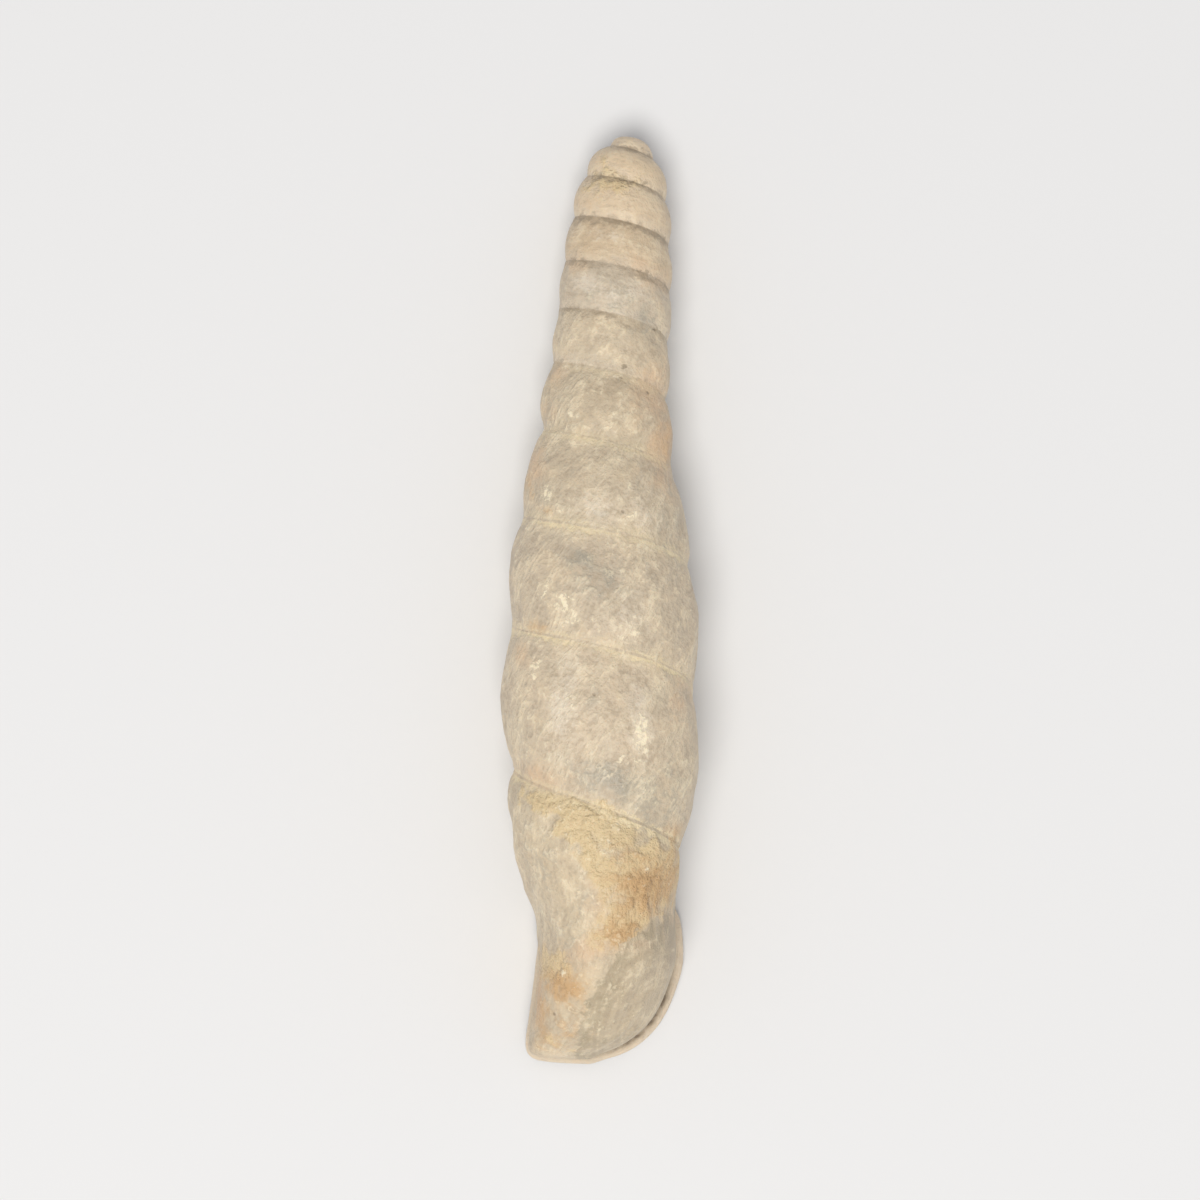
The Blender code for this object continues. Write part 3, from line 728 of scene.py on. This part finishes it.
wall_turns = np.concatenate([np.clip(turn, 0.0, None).ravel(), hood_turn.ravel(), [WHORLS],
                             np.full(len(inner), WHORLS + 1.0)])
# Painted shade in the groove behind the lip, darker to the right and low down.
in_groove = smooth_step(lip_at, *GROOVE_STARTS) * (1.0 - smooth_step(lip_at, *GROOVE_ENDS))
groove_side = smooth_step(rounder[None, :, 0], *GROOVE_SIDE)
groove_low = 1.0 - smooth_step(rounder[None, :, 2], *GROOVE_TOP)
carry("age", wall_turns[used] / (WHORLS + 1.0))
carry("lip", on_rings(smooth_step(lip_at, *LIP_CREAM_FROM), 1.0)[used])
carry("groove", on_rings(in_groove * groove_side * groove_low, 0.0)[used])
print("attributes:", sorted(layer.name for layer in mesh.attributes))

# %% The shell in the frame


def in_scene(name, data):
    """A new object in the scene."""
    made = bpy.data.objects.new(name, data)
    bpy.context.scene.collection.objects.link(made)
    return made


shell = in_scene("shell_wall", mesh)
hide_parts("shell")
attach(shell, "root")

# %% [markdown]
# ## Helpers for nodes
# A material is a tree of small steps. These helpers add one node and hand back what comes out,
# so that code reads like arithmetic. A linked value knows the tree that it stands in.

# %% Node helpers


def feed(socket, value):
    """Link an output to the socket, or set the socket to a plain value."""
    if isinstance(value, bpy.types.NodeSocket):
        socket.id_data.links.new(value, socket)
    else:
        socket.default_value = value


def node(tree, kind, inputs=(), **settings):
    """Add a node, set its properties and feed its inputs, given by name or number."""
    made = tree.nodes.new(kind)
    for name, value in settings.items():
        setattr(made, name, value)
    for key, value in dict(inputs).items():
        feed(made.inputs[key], value)
    return made


def beside(kind, inputs, **settings):
    """A new node in the tree that its linked inputs stand in."""
    linked = next(value for value in inputs.values() if isinstance(value, bpy.types.NodeSocket))
    return node(linked.id_data, kind, inputs, **settings)


def math_of(operation, first, *others):
    """One number from two by a Math node, and so on from left to right."""
    for other in others:
        first = beside("ShaderNodeMath", {0: first, 1: other}, operation=operation).outputs[0]
    return first


times, plus, minus, divided, greatest = (
    functools.partial(math_of, name)
    for name in ("MULTIPLY", "ADD", "SUBTRACT", "DIVIDE", "MAXIMUM"))
print("operations:", [helper.args[0] for helper in (times, plus, minus, divided, greatest)])

# %% Ramps, mixes and colours


def ramped(value, low, high, start=0.0, end=1.0):
    """Move a value from the range low to high into start to end, with soft ends."""
    inputs = dict(enumerate((value, low, high, start, end)))
    return beside("ShaderNodeMapRange", inputs, interpolation_type="SMOOTHSTEP").outputs[0]


def blended(factor, first, second):
    """Mix two colours or numbers: the first at factor 0, the second at 1."""
    return beside("ShaderNodeMix", {0: factor, 6: first, 7: second}, data_type="RGBA").outputs[2]


def flat_place(first, second):
    """A place on a flat pattern, from two numbers."""
    return beside("ShaderNodeCombineXYZ", {0: first, 1: second}).outputs[0]


def colour(red, green, blue):
    """A colour given as shown on a screen, from 0 to 255, turned into linear light."""
    shown = np.array([red, green, blue]) / 255.0
    linear = np.where(shown <= 0.04045, shown / 12.92, ((shown + 0.055) / 1.055) ** 2.4)
    return (*linear.tolist(), 1.0)


print("a mid grey in linear light:", round(colour(128, 128, 128)[0], 3))

# %% [markdown]
# ## Growth streaks
# The lime is laid down line by line, and weather picks the lines out. Noise that is stretched
# along them shows that. It reads the growth map, so it follows the coil, and one group serves
# both fine streaks and broad bands.

# %% Group: growth streaks


def new_group(name, output, **inputs):
    """A shader node group with one output; an input's value is a number, or None for a place."""
    group = bpy.data.node_groups.new(name, "ShaderNodeTree")
    for label, value in inputs.items():
        kind = "NodeSocketVector" if value is None else "NodeSocketFloat"
        socket = group.interface.new_socket(label, in_out="INPUT", socket_type=kind)
        if value is not None:
            socket.default_value = value
    group.interface.new_socket(output, in_out="OUTPUT", socket_type="NodeSocketFloat")
    out = group.nodes.new("NodeGroupOutput").inputs[0]
    return group, group.nodes.new("NodeGroupInput").outputs, out


def count(name, tree):
    """Print how many nodes a tree has by now."""
    print(name + ":", len(tree.nodes), "nodes")


streaks, given, out = new_group("growth streaks", "Streak", Across=0.0, Along=0.0, Spacing=0.2,
                                Stretch=6.0, Low=0.35, High=0.65)
place_in = flat_place(divided(given["Across"], given["Spacing"]),
                      divided(given["Along"], times(given["Spacing"], given["Stretch"])))
noise = beside("ShaderNodeTexNoise", {"Vector": place_in, "Scale": 1.0, "Detail": 3.0,
                                      "Roughness": 0.55}, noise_dimensions="2D")
feed(out, ramped(noise.outputs[0], given["Low"], given["High"]))
count(streaks.name, streaks)

# %% [markdown]
# ## Clouds
# Stains and thin places don't regard the growth. Plain noise on the object's own coordinates
# does for them. Cut between a low and a high value, it makes both wide clouds and small spots.

# %% Group: clouds
clouds, given, out = new_group("clouds", "Cloud", Place=None, Size=1.0, Low=0.4, High=0.6,
                               Detail=4.0)
per_metre = divided(1.0 / MM, given["Size"])
noise = beside("ShaderNodeTexNoise", {"Vector": given["Place"], "Scale": per_metre,
                                      "Detail": given["Detail"], "Roughness": 0.6})
feed(out, ramped(noise.outputs[0], given["Low"], given["High"]))
count(clouds.name, clouds)

# %% [markdown]
# ## Broken edges
# The listed marks have soft, round edges, and real stains don't. A little noise added to a
# mark before it is cut makes its edge ragged. The noise counts only where there is some mark.

# %% Group: broken edge
broken, given, out = new_group("broken edge", "Mask", Mark=0.0, Grain=0.5, Depth=0.5, Low=0.2,
                               High=0.8)
roughened = times(minus(given["Grain"], 0.5), given["Depth"])
summed = plus(given["Mark"], times(roughened, ramped(given["Mark"], 0.02, 0.25)))
feed(out, ramped(summed, given["Low"], given["High"]))
count(broken.name, broken)

# %% [markdown]
# ## The shell's finish
# The colour is built up in coats: the lime's own tint, drifts in it, grey where it is thin,
# light and dark grain, painted highlights, stains, a cream thread along the seams, painted shade
# and highlight at the young seams, chalk with painted glints, then the lip, painted shade in its
# groove, and the pits. A coat is a mask, a share and a colour, so each can be changed alone.
# Ages run from 0 at the apex to 1 at the lip, and distances from a seam are in millimetres.
# Roughness follows the same masks, since chalk is dull and worn lime has a soft gloss.

# %% Material
shell_finish = bpy.data.materials.new("weathered_lime")
shell_finish.use_nodes = True
tree = shell_finish.node_tree
surface = tree.nodes["Principled BSDF"]
object_place = node(tree, "ShaderNodeTexCoord").outputs["Object"]


def attribute(name):
    """A number that the mesh carries."""
    return node(tree, "ShaderNodeAttribute", attribute_name=name).outputs["Fac"]


def map_numbers(name):
    """The two numbers of a UV map."""
    pair = node(tree, "ShaderNodeUVMap", uv_map=name).outputs[0]
    return beside("ShaderNodeSeparateXYZ", {0: pair}).outputs[:2]


def placed(group, *values):
    """Place a group in the material, feed its inputs in their order, return what it puts out."""
    return node(tree, "ShaderNodeGroup", dict(enumerate(values)), node_tree=group).outputs[0]


# A streak is given two map numbers, its spacing in mm, how many times longer than wide it is
# and the two values that the noise is cut between. A cloud is given its size in mm, its cut
# and its detail. A ragged mask is given its mark, a grain, how deep that bites, and its cut.
streak = functools.partial(placed, streaks)
cloud = functools.partial(placed, clouds, object_place)
ragged = functools.partial(placed, broken)
across_lines, along_lines = map_numbers("growth")
below_seam, above_seam = map_numbers("suture")
age = attribute("age")
count("bare material", tree)

# %% [markdown]
# ## The lime's own tint
# Lime laid down in one season doesn't age like that of the next: the apex is pale and warm, the
# whorls after it are tan, and the later ones are greyer. One flat colour would look like
# plastic. So a ramp of twelve stops, about one a whorl, follows the age that the mesh carries.
# The first three stops are made paler still, as painted light against the shade on the apex,
# which hangs near the floor and turns from the lamp, and the last stop is darker, as painted
# shade where the neck's foot faces the lamp.

# %% Tint from apex to mouth
# The first three stops hold painted light for the apex, the last painted shade for the neck's
# foot.
TINTS = ((0.00, (228, 206, 175)), (0.07, (224, 202, 170)), (0.16, (221, 200, 170)),
         (0.25, (208, 186, 155)), (0.34, (207, 192, 170)), (0.43, (212, 195, 168)),
         (0.52, (202, 185, 158)), (0.61, (209, 193, 167)), (0.70, (207, 191, 167)),
         (0.80, (214, 197, 171)), (0.89, (210, 193, 164)), (1.00, (199, 181, 151)))
tint = node(tree, "ShaderNodeValToRGB", {0: age})
while len(tint.color_ramp.elements) < len(TINTS):
    tint.color_ramp.elements.new(0.5)
for stop, (where, shown) in zip(tint.color_ramp.elements, TINTS):
    stop.position = where
    stop.color = colour(*shown)
grown = ramped(age, 0.22, 0.55)
young = ramped(age, 0.40, 0.54, 1.0, 0.0)
old = ramped(age, 0.42, 0.60)
print("tints:", len(tint.color_ramp.elements))

# %% [markdown]
# ## Patterns
# The lime varies at many sizes at once: fine lines, broad bands, threads round the whorls, wide
# drifts, patches and grain. Each is one of the groups with values of its own. They are made
# once and shared by the coats, as one surface has one grain however it is stained.

# %% Patterns that the coats share
fine = streak(across_lines, along_lines, 0.12, 3.5, 0.36, 0.64)
broad = streak(across_lines, along_lines, 0.85, 2.6, 0.30, 0.70)
spiral = streak(below_seam, across_lines, 0.16, 7.0, 0.32, 0.68)
wide_cloud = cloud(2.4, 0.36, 0.64)
patch = cloud(0.85, 0.34, 0.66)
small_cloud = cloud(0.42, 0.34, 0.66)
grain = cloud(0.17, 0.32, 0.68, 2.0)
count("with patterns", tree)

# %% [markdown]
# ## Drifts, late growth and grey
# Thick lime looks warm, thin lime cooler, and worn places let the dark inside show as grey. The
# last growth before the lip is greener, has arcs in it and ends at a clear edge. The arcs are
# the growth streaks again, but run round that mark, as the snail built it from the mouth.

# %% Warm and cool drifts, the late growth, then grey where the lime is thin
COOL = colour(199, 187, 164)
WARM = colour(222, 200, 166)
GREY = colour(170, 163, 147)
LATE = colour(197, 181, 154)
LATE_EDGE = colour(166, 152, 125)
base = blended(times(wide_cloud, 0.35), tint.outputs[0], COOL)
base = blended(ramped(patch, 0.4, 1.0, 0.0, 0.30), base, WARM)
late_mark = attribute("late")
late = ragged(late_mark, small_cloud, 0.10, 0.34, 0.40)
arcs = streak(times(late_mark, 3.0), along_lines, 0.20, 5.0, 0.33, 0.67)
base = blended(times(late, 0.8), base, LATE)
late_edge = times(ramped(late_mark, 0.38, 0.78, 0.7, 0.0), late, ramped(patch, 0.0, 1.0, 1.0, 0.5))
base = blended(late_edge, base, LATE_EDGE)
grey = ragged(attribute("grey"), small_cloud, 0.6, 0.1, 1.0)
base = blended(times(grey, 0.85), base, blended(late, GREY, LATE_EDGE))
count("with drifts", tree)

# %% [markdown]
# ## Grain and painted highlights
# Close up, the lime is finely mottled. All patterns add up to one tone: where it is high, light
# lime is mixed in, and where it is low, dark. Two coats from one tone can't overlap, as two
# separate noises would. Over that, pale patches are painted in a few places as highlights, where
# the whorls catch the light.

# %% Light and dark in the lime, and painted highlights on it
LIGHT = colour(239, 224, 194)
PAINTED_HIGHLIGHT = colour(224, 212, 193)
DARK = colour(172, 155, 132)


def summed_up(first, *parts):
    """The first number plus each pattern times its depth."""
    return plus(first, *(times(pattern, depth) for pattern, depth in parts))


growth_tone = blended(grown, spiral, times(fine, ramped(broad, 0.3, 0.9, 0.35, 1.0)))
tone = summed_up(times(growth_tone, 0.28), (grain, 0.28), (small_cloud, 0.17), (patch, 0.27))
late_tone = summed_up(times(arcs, 0.31), (grain, 0.22), (patch, 0.25))
tone = blended(late, tone, late_tone)
contrast = ramped(age, 0.15, 0.50, 0.6, 1.0)
base = blended(times(ramped(tone, 0.42, 0.86, 0.0, 0.60), contrast), base, LIGHT)
base = blended(times(ramped(tone, 0.08, 0.42, 0.48, 0.0), contrast), base, DARK)
base = blended(times(ramped(broad, 0.5, 1.0, 0.0, 0.25), grown), base, LIGHT)
# Painted highlights: pale patches where the whorls catch the light.
painted_highlight = ragged(attribute("painted_highlight"), blended(0.5, patch, grain), 0.9, 0.05, 1.1)
base = blended(times(painted_highlight, 0.75), base, PAINTED_HIGHLIGHT)
count("with grain", tree)

# %% [markdown]
# ## Stains
# Iron and rotting leaves in the soil colour the lime peach, cream and ochre. A stain is deepest
# in its middle, so ochre gets a second, darker coat from the same marks with a higher cut.

# %% Stains of the soil
CREAM_STAIN = colour(226, 202, 156)
PEACH = colour(214, 182, 148)
OCHRE = colour(207, 169, 121)
DARK_OCHRE = colour(172, 136, 92)
not_late = minus(1.0, times(late, 0.8))
peach = ragged(attribute("peach"), patch, 0.5, 0.1, 0.9)
cream_stain = ragged(times(attribute("cream"), not_late), patch, 0.5, 0.18, 0.55)
ochre_mark = times(attribute("ochre"), not_late)
ochre = ragged(ochre_mark, small_cloud, 0.45, 0.05, 0.95)
ochre_core = ragged(ochre_mark, grain, 1.0, 0.62, 1.30)
for mask, share, shown in ((peach, 0.6, PEACH), (cream_stain, 0.78, CREAM_STAIN),
                           (ochre, 0.9, OCHRE), (ochre_core, 0.45, DARK_OCHRE)):
    base = blended(times(mask, share), base, shown)
count("with stains", tree)

# %% [markdown]
# ## Seams
# On the older whorls a cream thread runs on either side of the seam. On the young ones the seam
# is deep, and its shade is painted: a dark band below the seam and a narrow one above it, and a
# painted highlight on the whorl's lower edge just over that. All of them follow the seam however
# it winds, so they read the distance to it from the suture map, and a little grain keeps them
# from looking drawn with a ruler.

# %% Seams: a cream double thread on the old whorls, painted shade and highlight on the young ones
THREAD = colour(236, 219, 181)
SEAM = colour(178, 160, 130)
SHADE = colour(160, 144, 121)
uneven = times(minus(plus(times(grain, 0.5), small_cloud), 0.75), 0.20)
ragged_below, ragged_above = plus(below_seam, uneven), plus(above_seam, uneven)
thread = greatest(
    times(ramped(below_seam, 0.04, 0.09), ramped(ragged_below, 0.14, 0.28, 1.0, 0.0)),
    times(ramped(above_seam, 0.02, 0.06), ramped(ragged_above, 0.06, 0.15, 0.7, 0.0)))
thread = times(thread, old, ramped(wide_cloud, 0.0, 1.0, 0.35, 1.0),
               ramped(age, 0.55, 0.80, 0.45, 1.0))
wide_band = greatest(ramped(ragged_below, 0.1, 0.55, 0.30, 0.0),
                     ramped(ragged_above, 0.1, 0.40, 0.25, 0.0))
base = blended(times(wide_band, times(old, patch)), base, THREAD)
base = blended(thread, base, THREAD)
in_seam = times(ramped(below_seam, 0.0, 0.06, 0.40, 0.0), old, small_cloud)
base = blended(in_seam, base, SEAM)
# Painted highlight: the lower edge of each young whorl, lit paler above the seam.
painted_lit_rim = times(ramped(ragged_above, 0.05, 0.40, 0.25, 0.0), young)
base = blended(painted_lit_rim, base, PAINTED_HIGHLIGHT)
# Painted shade: dark in and beside the deep seams of the young whorls.
shade = greatest(ramped(ragged_below, 0.06, 0.36, 0.8, 0.0),
                 ramped(ragged_above, -0.04, 0.10, 0.6, 0.0))
base = blended(times(shade, young, ramped(patch, 0.0, 0.8, 0.3, 1.0)), base, SHADE)
count("with seams", tree)

# %% [markdown]
# ## Chalk
# Where the outer skin is gone, the lime turns to chalk and comes off in chips. Cut noise would
# run together into blobs, and chips are separate. So a chip is the middle of a Voronoi cell,
# longer down the growth lines and nibbled by the grain. The cell's own random number, with the
# mark's strength, decides whether it shows. The chalk marks from about 10 to 21 mm up the spire
# are painted glints as well, bright spots where the whorls catch the light.

# %% Chalk and painted glints: soft halos with chips in them
CHALK_AND_GLINT = colour(250, 237, 206)
CHIP_WIDTH, CHIP_LENGTH = 0.18, 0.36  # mm
chalk_and_glint_mark = attribute("chalk_and_glints")
chip_place = flat_place(plus(divided(across_lines, CHIP_WIDTH), small_cloud),
                        plus(divided(along_lines, CHIP_LENGTH), grain))
chip_cells = beside("ShaderNodeTexVoronoi", {"Vector": chip_place, "Scale": 1.0},
                    voronoi_dimensions="2D")
chip_edge = minus(chip_cells.outputs["Distance"], times(minus(grain, 0.5), 0.35))
chip_shape = ramped(chip_edge, 0.20, 0.44, 1.0, 0.0)
chance = beside("ShaderNodeSeparateColor", {0: chip_cells.outputs["Color"]}).outputs[0]
chips_and_glints = times(chip_shape, ramped(plus(chalk_and_glint_mark, chance), 1.08, 1.32))
solid_chalk_and_glint = ragged(chalk_and_glint_mark, grain, 0.9, 0.55, 0.95)
stray = times(ramped(small_cloud, 0.8, 1.0), chip_shape, times(grown, 0.35))
halo = times(ramped(chalk_and_glint_mark, 0.1, 0.9, 0.0, 0.45), plus(times(grain, 0.5), 0.5))
flakes_and_glints = greatest(times(greatest(chips_and_glints, solid_chalk_and_glint), 0.85), greatest(stray, halo))
base = blended(flakes_and_glints, base, CHALK_AND_GLINT)
count("with chalk", tree)

# %% [markdown]
# ## Lip, groove and pits
# The lip is the thickest and smoothest lime, and cream. The groove behind it gets painted shade.
# The pits are small dark holes, some listed one by one, some close to the random points of a
# Voronoi texture.

# %% Lip and throat, painted shade in the groove behind the lip, then the pits
LIP_CREAM = colour(232, 214, 189)
GROOVE_SHADE = colour(112, 94, 72)
PIT = colour(122, 105, 84)
PIT_SPACING = 0.9 * MM
lip_mask = attribute("lip")
base = blended(times(lip_mask, 0.75), base, LIP_CREAM)
# Painted shade in the groove behind the lip.
base = blended(times(attribute("groove"), ramped(patch, 0.0, 0.8, 0.45, 0.95)), base, GROOVE_SHADE)
pit_cells = beside("ShaderNodeTexVoronoi", {"Vector": object_place, "Scale": 1.0 / PIT_SPACING})
pits = times(ramped(pit_cells.outputs["Distance"], 0.03, 0.10, 1.0, 0.0),
             ramped(wide_cloud, 0.02, 0.12, 1.0, 0.0))
pits = greatest(pits, ragged(attribute("pit"), grain, 0.4, 0.25, 0.75))
base = blended(times(pits, 0.6), base, PIT)
feed(surface.inputs["Base Color"], base)
count("with pits", tree)

# %% [markdown]
# ## Gloss and fine relief
# Worn lime has a soft gloss, chalk is dull and the lip shines a little more. Some light enters
# the lime and comes out beside where it went in, which softens the shade. The finest lines
# would need millions of faces, so a Bump node tilts the light on them instead.

# %% Gloss and fine relief
ROUGH = 0.54
rough = plus(times(flakes_and_glints, 0.15), ROUGH)
feed(surface.inputs["Roughness"], minus(rough, times(grey, 0.10), times(lip_mask, 0.12)))
lumps = times(cream_stain, small_cloud)
height_map = summed_up(
    times(growth_tone, ramped(grown, 0.0, 1.0, 0.2, 0.9)), (grain, 0.8), (small_cloud, 1.1),
    (patch, 1.2), (flakes_and_glints, 0.5), (lumps, 3.0), (pits, -1.5))
bump = beside("ShaderNodeBump", {"Strength": 0.8, "Distance": 0.02 * MM, "Height": height_map})
feed(surface.inputs["Normal"], bump.outputs[0])
for name, value in (("Sheen Weight", 0.05), ("Sheen Roughness", 0.4),
                    ("Sheen Tint", (1.0, 0.94, 0.92, 1.0)), ("Subsurface Weight", 0.12),
                    ("Subsurface Radius", (1.0, 0.72, 0.5)), ("Subsurface Scale", 0.35 * MM)):
    feed(surface.inputs[name], value)
mesh.materials.append(shell_finish)
count("whole material", tree)

# %% [markdown]
# ## Floor and light
# The shell lies on a plain pale floor in a pale room. Far off the floor would end in a dark
# edge, so it fades into the backdrop, but only as the camera sees it: the shell gets no extra
# light. A wide, soft lamp stands towards the mouth and a little to the left, so each whorl is
# brightest on its lower side. With the room it lights a surface that faces up at about full
# strength, so colours show as written.

# %% Floor
FLOOR_HALF = 2.0  # metres
FLOOR_COLOUR = (0.80, 0.81, 0.82, 1.0)
FLOOR_FADES = (0.05, 0.22)  # metres from the shell over which the floor becomes the backdrop
BACKDROP = (0.99, 0.98, 1.0, 1.0)
BACKDROP_STRENGTH = 0.85
floor_mesh = bpy.data.meshes.new("floor")
floor_corners = np.array([(-1, -1, 0), (1, -1, 0), (1, 1, 0), (-1, 1, 0)]) * FLOOR_HALF
floor_mesh.from_pydata(floor_corners.tolist(), [], [(0, 1, 2, 3)])
floor = in_scene("floor", floor_mesh)
floor_paint = bpy.data.materials.new("floor_paint")
floor_paint.use_nodes = True
floor_mesh.materials.append(floor_paint)
floor_tree = floor_paint.node_tree
paint = floor_tree.nodes["Principled BSDF"]
feed(paint.inputs["Base Color"], FLOOR_COLOUR)
feed(paint.inputs["Roughness"], 0.9)
spot = node(floor_tree, "ShaderNodeTexCoord").outputs["Object"]
far_off = beside("ShaderNodeVectorMath", {0: spot}, operation="LENGTH").outputs["Value"]
seen = node(floor_tree, "ShaderNodeLightPath").outputs["Is Camera Ray"]
glow = node(floor_tree, "ShaderNodeEmission", {"Color": BACKDROP, "Strength": BACKDROP_STRENGTH})
faded = beside("ShaderNodeMixShader", {0: times(ramped(far_off, *FLOOR_FADES), seen),
                                       1: paint.outputs[0], 2: glow.outputs[0]})
feed(floor_tree.nodes["Material Output"].inputs["Surface"], faded.outputs[0])
print("floor:", 2 * FLOOR_HALF, "m square")

# %% Room light and lamp
ROOM_STRENGTH = 0.46
world = bpy.data.worlds.new("room")
bpy.context.scene.world = world
world.use_nodes = True
room_light = world.node_tree.nodes["Background"]
sees = node(world.node_tree, "ShaderNodeLightPath").outputs["Is Camera Ray"]
feed(room_light.inputs["Color"], BACKDROP)
feed(room_light.inputs["Strength"], ramped(sees, 0.0, 1.0, ROOM_STRENGTH, BACKDROP_STRENGTH))

LAMP_SIZE = 0.20  # metres across
LAMP_POWER = 1.12  # watts
LAMP_PLACE = (-0.04, -0.14, 0.38)
lamp_data = bpy.data.lights.new("soft lamp", "AREA")
lamp_data.shape = "DISK"
lamp_data.size = LAMP_SIZE
lamp_data.energy = LAMP_POWER
lamp_data.color = (1.0, 0.968, 0.92)
lamp = in_scene("soft lamp", lamp_data)
lamp.location = LAMP_PLACE
lamp.rotation_mode = "QUATERNION"
lamp.rotation_quaternion = (-Vector(LAMP_PLACE)).to_track_quat("-Z", "Y")
print("lamp", round(Vector(LAMP_PLACE).length, 2), "m from the shell")

# %% [markdown]
# ## Camera
# It looks at the shell's back, apex at the top, from a few degrees towards the mouth's end. The
# lens is long, so the far whorls aren't made small.

# %% Camera
VIEW_WIDTH = 38.83  # mm of the shell's length that the frame takes in
LENS = 100.0
SENSOR = 36.0
AIM = (-0.05, 0.0, 15.05)  # mm in the standing shell
TILT = 8.0  # degrees by which it looks from the mouth's side
camera_data = bpy.data.cameras.new("camera")
camera_data.lens = LENS
camera_data.sensor_width = SENSOR
camera_data.clip_start = 0.001
camera_data.clip_end = 20.0
camera = in_scene("camera", camera_data)
tilt = Matrix.Rotation(math.radians(TILT), 3, "X")
into_view, up = lay @ tilt @ Vector((0.0, 1.0, 0.0)), lay @ tilt @ Vector((0.0, 0.0, 1.0))
distance = VIEW_WIDTH * MM * LENS / SENSOR
pose = Matrix((into_view.cross(up), up, -into_view)).transposed().to_4x4()
pose.translation = laid(AIM) - into_view * distance
camera.matrix_world = pose
bpy.context.scene.camera = camera
bpy.context.scene.view_settings.view_transform = "Standard"
print("camera", round(distance / MM), "mm away")
